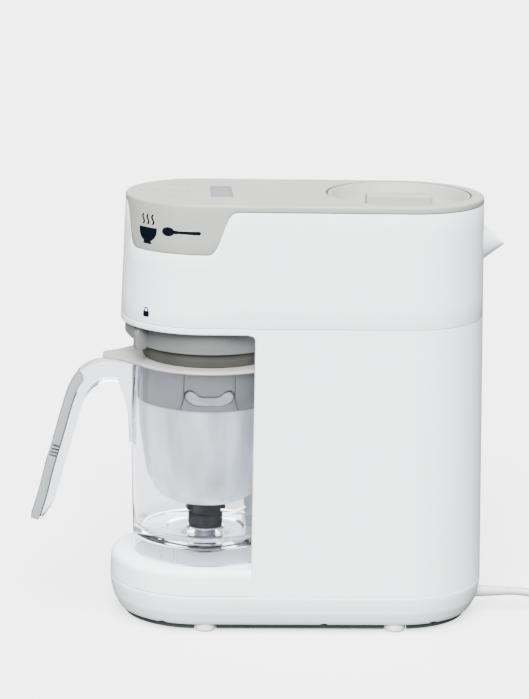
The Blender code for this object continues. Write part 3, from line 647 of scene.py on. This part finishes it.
def make_head():
    head = skin("head_wall", rim_rows(head_section, RIM), closed=True)
    carve(head, block("spout_way", (150, -5, SPOUT[0].z + 16), (176, 5, SPOUT[0].z + 27)))
    show(head, WHITE, "housing", "white_shell", "head_shell")
    seam_liner("head_seam_liner", HEAD_SEAM - 0.3, HEAD_SEAM + 0.6)

    cover = skin("cover_top", rim_rows(cover_section, RIM))
    carve(cover, rod("lid_way", TANK_X, 0, TANK_LID[1].x - TANK_X + 0.6, 315, 340, 96))
    low, high = WINDOW
    carve(cover, block("window_way", (low.x - 0.2, low.y - 0.2, 315), (high.x + 0.2, high.y + 0.2, 340)))
    for number in range(1, 5):
        x, y = middle_of(f"key_{number}")
        carve(cover, rod("key_way", x, y, 8.1, 315, 340, 40))
    show(cover, WARM, "housing", "warm_grey_cover", "top_cover")
    # A dark band just inside the cover's lower edge: painted shadow in the gap under it.
    liner = skin("cover_gap_shade", rim_rows(gap_shade_section, RIM), closed=True)
    show(liner, SEAM, "housing", "dark_grey")


def ribbon(name, points, width, bottom, top, closed=False):
    """A flat line of the given width through (x, y) points."""
    route = [Vector(p) for p in points]
    sides = [[], []]
    for i, here in enumerate(route):
        before = route[i - 1] if i or closed else here
        after = route[(i + 1) % len(route)] if i + 1 < len(route) or closed else here
        across = (after - before).normalized().orthogonal() * width / 2
        sides[0].append(here + across)
        sides[1].append(here - across)
    if closed:
        rings = [[(*p, z) for p in side] for side, z in
                 ((sides[0], bottom), (sides[0], top), (sides[1], top), (sides[1], bottom))]
        return skin(name, rings, closed=True)
    return slab(name, sides[0] + sides[1][::-1], bottom, top)


def make_controls():
    low, high = WINDOW

    def window(inset, z):
        left, right, near, far = low.x + inset, high.x - inset, low.y + inset, high.y - inset
        return [(left, near, z), (right, near, z), (right, far, z), (left, far, z)]

    section = ((0, 1.2), (0, 0.15), (2.0, 0.25), (2.0, 1.2))
    bezel = [window(inset, HEIGHT - depth) for inset, depth in section]
    show(skin("display_bezel", bezel, closed=True), LCD_EDGE, "housing", "display_grey")
    pane = skin("display_pane", [window(1.6, HEIGHT - depth) for depth in (1.2, 0.5)])
    show(pane, LCD, "housing", "display_grey", "display_window")

    for number in range(1, 5):
        x, y = middle_of(f"key_{number}")
        bottom = box_mm(f"key_{number}")[0].z
        profile = [(0, HEIGHT - 0.1), (8.0, HEIGHT - 0.1, 0.4), (8.0, bottom + 3), (9.4, bottom + 2.6),
                   (9.4, bottom), (0, bottom)]
        body = f"key_{number}"
        cap = turned_solid(f"key_cap_{number}", profile, x, y, 40)
        show(cap, WARM, body, "warm_grey_cover", body)
        for part, mark in enumerate(key_marks(number, x, y), 1):
            show(mark, MARK, body, "mid_grey")
            mark.name = f"key_mark_{number}_{part}"


def key_marks(number, x, y):
    """Plain signs: waves, an open ring with a bar, a drop, and a triangle."""
    def line(points, width=0.6, closed=False):
        return ribbon("mark", points, width, HEIGHT - 0.2, HEIGHT - 0.04, closed)

    if number == 1:
        waves = [[(x - 3 + i, y + side + 0.5 * sin(i * pi / 2)) for i in range(7)] for side in (-2, 0, 2)]
        return [line(wave, 0.5) for wave in waves]
    if number == 2:
        return [line(arc(x, y, 3.2, 60, 300, 20)), line([(x + 1.4, y), (x + 4.2, y)])]
    if number == 3:
        return [line(arc(x - 1, y, 2.2, 60, 300, 18) + [(x + 3.6, y)], 0.5, closed=True)]
    return [line(arc(x, y, 3.2, 90, 450, 3)[:-1], closed=True)]


def on_flap(s, z, proud):
    """A point on the near side, s mm along it from the front arc's end and proud of its surface."""
    share = s / (BACK_X - front_centre(RIM))
    if s < 0:
        return rim_point(("front", 270 + degrees(s / half_width(RIM)), s), z, -proud)
    return rim_point(("near", share, s), z, -proud)


def print_on_side(name, points):
    """A thin printed shape whose outline is (distance along the side, height) points."""
    bm = bmesh.new()
    flat = [bm.verts.new((s, z, 0)) for s, z in points]
    face = bm.faces.new(flat)
    bmesh.ops.triangulate(bm, faces=[face])
    bmesh.ops.subdivide_edges(bm, edges=bm.edges, cuts=3, use_grid_fill=True)
    bmesh.ops.triangulate(bm, faces=bm.faces)
    grown = bmesh.ops.extrude_face_region(bm, geom=list(bm.faces))
    raised = {v for v in grown["geom"] if isinstance(v, bmesh.types.BMVert)}
    for v in bm.verts:
        v.co = Vector(on_flap(v.co.x, v.co.y, 0.12 if v in raised else -0.3)) * MM
    bmesh.ops.recalc_face_normals(bm, faces=bm.faces)
    show(new_object(name, bm), NAVY, "housing", "dark_grey")


def make_prints():
    """A generic sign of a steaming bowl and a spoon on the flap, and a padlock by the lever."""
    left, middle_z, scale = SIGN

    def sign(name, points):
        print_on_side(name, [(left + scale * x, middle_z + scale * y) for x, y in points])

    sign("sign_bowl", arc(0, 0, 8.2, 180, 360, 18) + [(8.2, 1.6), (-8.2, 1.6)])
    sign("sign_bowl_foot", [(-4, -9.6), (4, -9.6), (3, -7.6), (-3, -7.6)])
    for i in (-1, 0, 1):
        middle = [(4.4 * i + 0.9 * sin(j * pi / 3), 3.6 + 1.15 * j) for j in range(7)]
        sides = [(x - 0.75, y) for x, y in middle] + [(x + 0.75, y) for x, y in reversed(middle)]
        sign(f"sign_steam_{i + 2}", sides)
    spoon = [(17 + 4.6 * cos(radians(a)), 0.5 + 3.1 * sin(radians(a))) for a in range(24, 337, 12)]
    sign("sign_spoon", spoon + [(25, -0.4), (39, -0.7), (40.2, 0.5), (39, 1.7), (25, 1.4)])

    s, z = LOCK_SIGN
    corners = ((-2.9, -2.9), (2.9, -2.9), (2.9, 1.4), (-2.9, 1.4))
    body = filleted([(s + x, z + y, 0.7) for x, y in corners])
    print_on_side("sign_lock_body", body)
    turns = [pi * i / 10 for i in range(11)]
    hoop = [(s + 2.2 * cos(a), z + 1.3 + 3.3 * sin(a)) for a in turns]
    hoop += [(s + 1.2 * cos(a), z + 1.3 + 2.3 * sin(a)) for a in reversed(turns)]
    print_on_side("sign_lock_hoop", hoop)


def make_spout():
    """The pouring beak at the back: a soft cone with a flat ramped top and a channel."""
    root, tip, bottom, top = 158.0, SPOUT[1].x, SPOUT[0].z, SPOUT[1].z
    rows = []
    for i in range(9):
        share = i / 8
        x = mix(root, tip, share)
        half = mix(20.0, 3.0, share)
        low, high = mix(bottom - 2.5, 291.6, share), mix(top + 2.5, 294.4, share)
        middle = mix(low, high, 0.6)
        under = [pi + pi * j / 16 for j in range(17)]
        over = [pi * j / 16 for j in range(1, 16)]
        ring = [(half * cos(a), middle + (middle - low) * sin(a)) for a in under]
        ring += [(half * cos(a), middle + (high - middle) * sin(a) ** 0.5) for a in over]
        rows.append([(x, y, z) for y, z in ring])
    spout = skin("pouring_spout", rows)
    trim = plan_skin("spout_trim", [(-GAP, bottom - 10), (-GAP, HEIGHT)])
    carve(spout, trim)
    floor = [(150, 289.5), (176.5, 292.8), (182, 293.2), (182, 320), (150, 320)]
    carve(spout, prism("spout_channel", floor, 2.6))
    show(spout, WHITE, "housing", "white_shell", "drain_spout", sharp=50)


# ---- Tank and its lid ----


def make_tank():
    low, top = TANK[0].z, TANK[1].z
    radius = TANK[1].x - TANK_X
    wall = 2.0
    tank = turned_solid("tank_cup", [
        (0, low + wall), (radius - wall, low + wall, 4), (radius - wall, top, 0.6), (radius, top, 0.6),
        (radius, low, 5), (0, low)], TANK_X)
    show(tank, TANK_WHITE, "housing", "tank_white", "water_tank")

    low, top = TANK_LID[0].z, HEIGHT
    edge = TANK_LID[1].x - TANK_X
    floor = low + 2.2
    lid = turned_solid("tank_cap", [
        (0, floor), (42.5, floor, 12), (51.0, top - 1.2, 3), (52.4, top - 0.1, 1.2),
        (edge - 0.9, top - 0.5, 1.2), (edge - 0.9, 326.0), (50.6, 326.0), (49.0, 324.5),
        (49.0, low, 1.5), (0, low)], TANK_X, fillet=8)
    grip = block("grip", (TANK_X - 25, -8, floor - 1.2), (TANK_X + 25, 8, top - 0.2))
    bevelled(grip, 1.6, 5)
    carve(lid, grip, "UNION")
    show(lid, WARM, "tank_lid", "warm_grey_cover", "tank_lid", even=True)
    # A dark ring in the gap round the tank lid: painted shadow in the gap.
    gap = [(edge - 0.7, 327.6), (edge + 0.5, 327.6), (edge + 0.5, 326.4), (edge - 0.7, 326.4)]
    show(turned("lid_gap_shade", gap, TANK_X), DARK, "housing", "dark_grey")
    ring = [(51.3, 323.2), (51.7, 322.4), (51.3, 320.8), (49.3, 320.8), (49.3, 323.2)]
    show(turned("tank_seal_ring", ring, TANK_X), RUBBER, "tank_lid_seal", "dark_rubber", "tank_lid_seal")


# ---- Cap, seal and lever ----


def make_cap():
    low, top = LEVER[0].z, LEVER[1].z
    bottom = SEAL[1].z + 0.4
    radius = 55.0
    collar = turned("lever_collar", filleted([
        (radius, top, 1.0), (radius, bottom, 0.9), (52.4, bottom, 0.6), (52.4, top - 2.3), (10, top - 2.3),
        (10, top)]), JUG_X)

    fin = filleted([(53, low + 3.4), (55.5, low + 1.6, 3), (58.5, low, 4), (65.4, low, 3.0),
                    (65.4, top - 0.4, 5.5), (53, top - 0.4)], steps=8)
    knob = about_jug(prism("knob", fin, 2.7, 0.8), 211)
    tab_rows = []
    for i in range(13):
        a = radians(mix(178, 207, i / 12))
        section = filleted([(53.5, 219.0), (60.5, 220.0, 1.5), (63.4, 223.0, 1.5), (63.4, top - 0.3, 0.8),
                            (53.5, top - 0.3)])
        tab_rows.append([about_axis(r, a, z) for r, z in section])
    carve(collar, skin("tab", tab_rows), "UNION")
    carve(collar, knob, "UNION")
    show(collar, COLLAR, "lock_lever", "mid_grey", "lock_lever")

    seal = filleted([(51.2, SEAL[1].z, 0.5), (51.0, 209.5, 3), (49.2, SEAL[0].z, 1.0), (44, SEAL[0].z, 1),
                     (42, 207, 1), (41, SEAL[1].z)])
    show(turned("steam_seal", seal, JUG_X), RUBBER, "steam_cap", "dark_rubber", "cap_seal")


# ---- Jug ----


HANDLE_BACK = (
    (-121, 199.2), (-129.5, 198), (-138, 194), (-145, 187.5), (-150, 179), (-154, 168.5),
    (-162, 139.2), (-168.2, 117.7), (-173.5, 95.3), (-179.3, 76.0),
)
HANDLE_INNER = (
    (-176.5, 73.0), (-171.5, 74.2), (-166.5, 79.8), (-160.4, 91.4), (-155.1, 111.4), (-150.6, 127.4),
    (-146.1, 143.3), (-142.3, 157.5), (-138.5, 168.6), (-131.7, 178.1), (-123.3, 182.9), (-112, 183.5),
)
HANDLE_HALF = 9.8  # half of the handle's thickness
STRIP_WIDTH = 6.6  # of the grey insert, seen from the side


def moved_in(line, distance):
    """An (x, z) line moved sideways, towards the handle's fingers."""
    found = []
    for i, (x, z) in enumerate(line):
        a, b = line[max(i - 1, 0)], line[min(i + 1, len(line) - 1)]
        along = Vector((b[0] - a[0], b[1] - a[1])).normalized()
        found.append((x - distance * along.y, z + distance * along.x))
    return found


def make_jug():
    rim, foot = JUG[1].z, JUG[0].z
    jug = turned("jug_body", filleted([
        (58.4, rim, 1.0), (58.0, 150), (57.2, 110), (56.4, 80), (55.9, 62, 4), (55.5, foot, 0.8),
        (53.2, foot, 0.8), (53.3, 64.5, 1.5), (30, 64.3), (16, 63.4), (14.0, 62.6), (7.2, 62.6),
        (7.2, 67.3, 0.5), (13.2, 67.3, 0.8), (14.6, 65.8, 1.2), (28.5, 65.8, 1), (30.5, FLOOR_TOP, 1),
        (47.5, FLOOR_TOP + 0.6, 5), (52.9, 73.0, 5), (54.0, 90), (55.0, 130), (55.9, rim, 1.0)]),
        JUG_X, steps=120)

    back, inner = ([tuple(p) for p in curve_through(line, 4)] for line in (HANDLE_BACK, HANDLE_INNER))
    root = [(-108, 172), (-105, 160), (-103.4, 134), (-99.4, 133), (-99.4, 198.6)]
    handle = prism("handle", back + inner + root, HANDLE_HALF, 1.6)
    strip_back = [p for p in back if p[0] < -143]
    channel = moved_in(strip_back, -3.0) + moved_in(strip_back, STRIP_WIDTH + 0.15)[::-1]
    carve(handle, prism("strip_channel", channel, 12))
    room = [(0, 215), (58.6, 215), (58.2, 150), (57.5, 110), (0, 110)]
    carve(handle, turned("wall_way", room, JUG_X, closed=False))
    show(handle, MILKY, "jug", "clear_plastic", "jug_handle", sharp=40)
    boss = filleted([(15.5, 62.3), (15.5, foot + 2, 0.6), (13.4, foot + 2, 0.4), (13.4, 62.3)])
    show(turned("jug_boss", boss, JUG_X), BOSS, "jug", "clear_plastic")
    for angle in (229.5, 243.0):  # two short lugs inside the skirt
        lug = block("lug", (51.0, -0.9, foot + 2), (54.4, 0.9, 64))
        carve(jug, about_jug(lug, angle), "UNION")
    show(jug, CLEAR, "jug", "clear_plastic", "jug", sharp=40)

    def strip_line(start, end, steps, distance):
        shares = [mix(start, end, i / steps) for i in range(steps + 1)]
        return moved_in(sampled(strip_back, shares), distance)

    breaks = ((0.0, 0.49), (0.505, 0.512), (0.527, 0.534), (0.549, 0.556), (0.571, 1.0))
    for number, (start, end) in enumerate(breaks, 1):
        outer, inside = (strip_line(start, end, 14, distance) for distance in (0.5, STRIP_WIDTH))
        piece = prism(f"handle_insert_{number}", outer + inside[::-1], HANDLE_HALF - 0.5, 0.4)
        nodes = ("handle_strip",) if number == 1 else ()
        show(piece, STRIP_GREY, "jug", "mid_grey", *nodes)
    # A dark band along the grey insert's inner edge: painted shadow between the insert and the clear
    # handle.
    near, far = (strip_line(0.11, 0.97, 20, STRIP_WIDTH + step) for step in (0.05, 0.95))
    show(prism("handle_insert_shadow", near + far[::-1], HANDLE_HALF - 0.6), EDGE, "jug", "mid_grey")


def on_band(radius, along, z):
    """A point the given distance along the basket's band from its near side."""
    return about_axis(radius, radians(270) + along / BAND_OUTSIDE, z)


def make_basket():
    low, top = BOWL[0].z, BOWL[1].z
    bowl = turned_solid("basket_cup", [
        (0, low + 5.4), (10, low + 5.4), (29.8, 94.6, 8), (38, 101.5, 6), (43.8, 114, 10),
        (49.4, 144.5, 30), (51.9, top, 0.5), (53.7, top, 0.5), (51.1, 144, 30), (45.6, 112, 10),
        (39, 99, 6), (31, 92.6, 8), (12, low + 3.4, 2), (0, low + 3.4)], JUG_X)
    for i in range(10):
        angle = radians(36 * i)
        carve(bowl, rod("drain", JUG_X + 20 * cos(angle), 20 * sin(angle), 1.9, 80, 100, 14))
    show(bowl, FROSTED, "jug", "frosted_basket", "basket_bowl", sharp=50)
    nub = turned_solid("basket_nub", [
        (0, 100.5), (4.6, 100.0, 1.5), (5.4, 98.2, 0.8), (3.0, 96.6, 1), (0, 96.4)], -29.6, -35.5, 32)
    show(nub, FROSTED, "jug", "frosted_basket")

    low, top = BAND[0].z, BAND[1].z
    band = turned("basket_rim", filleted([
        (57.6, top, 0.4), (57.6, top - 0.9, 0.4), (54.6, top - 1.0, 0.8), (54.5, 190), (54.3, low, 0.6),
        (52.3, low, 0.4), (52.5, 190), (52.6, top, 0.4)]), JUG_X)
    rows = []
    for i in range(31):  # the raised panel round the finger hole, wider at its foot
        share = i / 30
        a = mix(-1, 1, share)
        proud = 55.15 - 0.75 * smooth((abs(a) - 0.93) / 0.07)
        outline = [(top - 1.2, 19.0), (192, 19.0), (183, 19.3), (177, 20.2), (low + 0.2, 22.5)]
        section = [on_band(proud, a * half, z) for z, half in outline]
        section += [on_band(53.5, a * half, z) for z, half in (outline[-1], outline[0])]
        rows.append(section)
    panel = skin("grip_panel", rows)
    hole = crescent(0.0)
    for wall in (band, panel):
        carve(wall, prism("finger_hole", hole, 14, y=-54))
    show(band, BAND_GREY, "jug", "band_grey", "basket_band")
    show(panel, BAND_GREY, "jug", "band_grey")

    for side in (-1, 1):  # thin dark bands where the panel's grooves are: painted shade in the grooves
        rows = []
        for z, half in ((top - 1.2, 19.3), (183, 19.6), (177, 20.5), (low + 0.2, 22.8)):
            corners = ((54.0, -0.25), (54.0, 0.25), (54.95, 0.25), (54.95, -0.25))
            rows.append([on_band(r, side * (half + step), z) for r, step in corners])
        show(skin(f"panel_groove_shade_{1 if side < 0 else 2}", rows), EDGE, "jug", "band_grey")

    def bowl_of(name, finish, rings):
        """A thin bowl in the finger hole through rings of (depth, growth, drop)."""
        rows = [[(x, depth - 54.9 + (x - JUG_X) ** 2 / (2 * BAND_OUTSIDE), z)
                 for x, z in crescent(grow, drop)] for depth, grow, drop in rings]
        made = skin(name, rows, caps=(False, len(rings) > 3))
        thick = made.modifiers.new("Wall", "SOLIDIFY")
        thick.thickness, thick.offset = 0.5 * MM, 0
        show(settle(made), finish, "jug", "frosted_basket", sharp=60)

    scoop = ((1.2, 0.9, -0.4), (2.4, 0.2, -0.5), (4.2, -1.2, -0.8), (5.0, -2.6, -1.0))
    bowl_of("finger_scoop", SCOOP, scoop)
    # A dark rim round the top of the finger hole: painted shade in the hole's recess.
    bowl_of("finger_scoop_shade", EDGE, ((0.4, 0.7, 0.0), (0.9, 0.0, -0.3), (1.4, -0.9, -1.1)))


def crescent(grow, drop=0.0):
    """The finger hole's (x, z) outline: a wide bowl whose ends turn up."""
    wide, tall = 1 + grow / 18.8, 1 + grow / 6.3
    right = [(11.5, -7.6, 12), (18.4, -3.4, 6), (18.9, 2.2, 4), (15.6, 5.4, 2.6), (11.6, 4.2, 3),
             (7.6, 0.4, 8)]
    left = [(-x, z, r) for x, z, r in reversed(right)]
    outline = filleted(right + left, steps=7)
    return [(JUG_X + x * wide, FINGER_Z + (z + 1.4) * tall + drop) for x, z in outline]


def make_jug_lid():
    low, top = 201.9, JUG_LID[1].z
    radius = 62.4
    lid = turned("lid_plate", filleted([
        (radius - 2, top, 1), (radius, top - 0.7, 0.8), (radius, low, 0.6), (52, low), (52, 198),
        (50.9, 198), (50.9, 195), (51.9, 195), (51.8, 192, 0.5), (49, 192, 0.5), (49, low),
        (6, low, 0.3), (6, top, 0.5)]), JUG_X)
    tip = JUG_LID[0].x
    near = [(tip, -4, 4), (tip + 1.5, -9.6, 5), (-112, -15.5, 20), (-104, -26, 14), (-92, -38)]
    outline = filleted(near + [(-92, 38)] + [(x, -y, *r) for x, y, *r in reversed(near[:-1])], steps=7)
    tab = bevelled(slab("tab", outline, low + 0.05, top - 0.05), 0.7, 3)
    carve(lid, tab, "UNION")
    show(lid, LID_GREY, "jug_lid", "lid_grey", "jug_lid", even=True)


# ---- Blade ----


def make_blade():
    low, top = HUB[0].z - 2.0, HUB[1].z + 3.2
    radius = (HUB[1].x - HUB[0].x) / 2 + 0.5
    hub = turned_solid("hub_body", [
        (0, top), (12.0, top, 0.8), (12.0, 79.6, 0.6), (radius, 78.4, 0.8), (radius, low, 0.5), (3.8, low),
        (3.8, 77.3), (0, 77.3)], JUG_X)
    for angle in (188, 8):
        arm = block("arm", (8, -4.5, 81.5), (15.0, 4.5, 86.0), 0.9)
        carve(hub, about_jug(arm, angle), "UNION")
    show(hub, HUB_GREY, "blade", "hub_charcoal", "blade_hub")
    ring = [(14.0, 68.3), (14.0, 67.6), (10, 67.6), (10, 68.3)]
    show(turned("hub_ring", ring, JUG_X), BRIGHT, "blade", "steel")
    for number, side in enumerate((0, pi), 1):
        rows = []
        for i in range(15):
            share = i / 14
            reach = mix(12.0, 31.0, share)
            lead, trail = mix(0.36, 0.08, share), mix(-0.40, -0.10, share)
            lift = 7.5 * share**1.6 * (1 if number == 1 else 0.15)
            bevel = mix(lead, trail, 0.25)
            section = [(lead, 0.0), (bevel, 0.3), (trail, 0.3), (trail, -0.3), (bevel, -0.3)]
            rows.append([about_axis(reach, side + a, BLADE_Z + h + lift) for a, h in section])
        nodes = ("chopping_blade",) if number == 1 else ()
        show(skin(f"blade_wing_{number}", rows), STEEL, "blade", "steel", *nodes, sharp=25)


# ---- Mains lead ----


def lead_points():
    """The lead's centreline in metres: its route, then the coil from the near side, then the plug."""
    def coil(turn):
        inside = smooth((turn - 0.75) / 0.15) - smooth((turn - 2.5) / 0.15)
        radius = COIL_MEAN + COIL_PITCH * (0.5 - inside)
        height = mix(*LAYERS, smooth((turn - 1.55) / 0.17))
        angle = radians(-90) + 2 * pi * turn
        return (COIL_CENTRE[0] + radius * cos(angle), COIL_CENTRE[1] + radius * sin(angle), height)

    steps = 32
    turns = [coil(i / steps) for i in range(1, int(COIL_TURNS * steps) + 1)]
    reach = [(252.0, -0.7, LAYERS[0]), (262.0, -2.3, LAYERS[0]), (272.0, -3.35, LAYERS[0])]
    last = [(mix(turns[-1][0], PLUG_X, 0.5), 54.0, LAYERS[1]), (PLUG_X, PLUG[0].y - 0.1, LAYERS[1])]
    route = [Vector(p) / MM for p in LEAD_ROUTE]
    smooth_part = curve_through(route + [Vector(p) for p in reach], 3)
    return [Vector(p) * MM for p in smooth_part + [Vector(p) for p in turns + last]]


def make_lead():
    points = lead_points()
    curve = bpy.data.curves.new("mains_lead", "CURVE")
    curve.dimensions = "3D"
    curve.bevel_depth = LEAD_RADIUS * MM
    curve.bevel_resolution = 5
    curve.use_fill_caps = True
    spline = curve.splines.new("POLY")
    spline.points.add(len(points) - 1)
    for place, point in zip(spline.points, points):
        place.co = (*point, 1)
    lead = linked("mains_lead", curve)
    show(lead, LEAD, "housing", "lead_white", "power_cord", "cord_coil")

    length = GLAND[1].x - GLAND[0].x - 5.5
    gland = turned_solid("strain_relief", [(0, -5.5), (6.2, -5.5, 0.4), (6.2, -2.7, 0.4), (4.7, -2.6),
                                           (4.2, 6, 20), (3.3, length), (0, length)], 0, 0, 40)
    placed(gland, along_axis(GLAND[1].x - length, 0, 15.5, "Y"))
    show(gland, LEAD, "housing", "lead_white", "cord_gland")

    tail = PLUG[0].y
    sections = [  # distance from the tail, half width, half height, and how square the section is
        (0, 4.4, 4.4, 1), (3, 4.6, 4.6, 1), (15, 5.6, 5.3, 1), (19, 7.6, 6.6, 0.85), (24, 11.2, 8.8, 0.65),
        (28, 13.4, 9.6, 0.5), (31, 14, 9.8, 0.45), (43, 14, 9.8, 0.45), (45.4, 13.4, 9.2, 0.45),
        (46, 12.4, 8.4, 0.45),
    ]
    rows = []
    for y, half, high, power in sections:
        ring = []
        for i in range(40):
            c, d = cos(2 * pi * i / 40), sin(2 * pi * i / 40)
            x = half * abs(c) ** power * (1 if c > 0 else -1)
            z = high * abs(d) ** power * (1 if d > 0 else -1)
            ring.append((PLUG_X + x, tail + y, LAYERS[1] + z))
        rows.append(ring)
    plug = show(skin("lead_plug", rows), LEAD, "housing", "lead_white", "plug")
    for side in (-1, 1):
        pin = turned_solid("pin", [(0, 40), (2.35, 40), (2.35, 65, 1.2), (0, 65)], 0, 0, 24)
        placed(pin, along_axis(PLUG_X + 9.5 * side, tail, LAYERS[1], "X"))
        show(pin, STEEL, "housing", "steel")
        pin.name = f"plug_pin_{1 if side < 0 else 2}"
    length = lengths_along([tuple(p) for p in points])[-1]


# ---- Stage ----

WORLD_STRENGTH = 1.0
SUNS = (  # name, direction towards the light, spread in degrees, strength, whether it is a plain fill
    ("key_light", (-0.12, -1.0, 0.78), 36, 12.8, False),
    ("top_light", (0.0, -0.30, 1.0), 45, 9.6, False),
    ("back_fill", (0.10, 1.0, 0.30), 40, 6.0, True),
    ("floor_bounce", (-0.35, -0.45, -0.80), 40, 2.4, True),
)
FLOOR_GLOW = 1.7


def make_stage():
    bm = bmesh.new()
    bmesh.ops.create_grid(bm, x_segments=1, y_segments=1, size=20)
    floor = new_object("floor", bm)
    pale = bpy.data.materials.new("floor_pale")
    pale.use_nodes = True
    pale.cycles.emission_sampling = "NONE"
    shader = pale.node_tree.nodes["Principled BSDF"]
    set_inputs(shader, Base_Color=(0.55, 0.55, 0.55, 1), Emission_Color=(1, 1, 1, 1),
               Emission_Strength=FLOOR_GLOW, Roughness=0.9, Specular_IOR_Level=0.1)
    floor.data.materials.append(pale)
    floor.visible_diffuse = False
    floor.visible_glossy = False

    world = bpy.data.worlds.new("studio")
    bpy.context.scene.world = world
    world.use_nodes = True
    set_inputs(world.node_tree.nodes["Background"], Color=(1, 1, 1, 1), Strength=WORLD_STRENGTH)
    world.cycles_visibility.diffuse = False
    for name, towards, spread, strength, fill in SUNS:
        lamp = bpy.data.lights.new(name, "SUN")
        lamp.angle, lamp.energy = radians(spread), strength
        lamp.use_shadow = not fill
        made = linked(name, lamp)
        made.visible_glossy = not fill
        made.rotation_mode = "QUATERNION"
        made.rotation_quaternion = Vector(towards).to_track_quat("Z", "Y")


CAMERA_PLACE = (-0.1134, -2.1454, 0.7050)
CAMERA_FORWARD = (0.05099, 0.97292, -0.22545)
CAMERA_ROLL = 1.133
CAMERA_LENS = 148.5


def make_camera():
    forward = Vector(CAMERA_FORWARD).normalized()
    right = forward.cross(Vector((0, 0, 1))).normalized()
    up = right.cross(forward)
    roll = radians(CAMERA_ROLL)
    side, rise = cos(roll) * right + sin(roll) * up, cos(roll) * up - sin(roll) * right
    data = bpy.data.cameras.new("camera")
    data.lens, data.sensor_width, data.sensor_fit = CAMERA_LENS, 36.0, "AUTO"
    data.clip_start, data.clip_end = 0.1, 100.0
    camera = linked("camera", data)
    turn = Matrix((side, rise, -forward)).transposed().to_4x4()
    camera.matrix_world = Matrix.Translation(Vector(CAMERA_PLACE)) @ turn
    bpy.context.scene.camera = camera


make_camera()
make_lead()
finish_cad_nodes()
make_base()
make_tower()
make_head()
make_controls()
make_prints()
make_spout()
make_tank()
make_cap()
make_jug()
make_basket()
make_jug_lid()
make_blade()
make_stage()
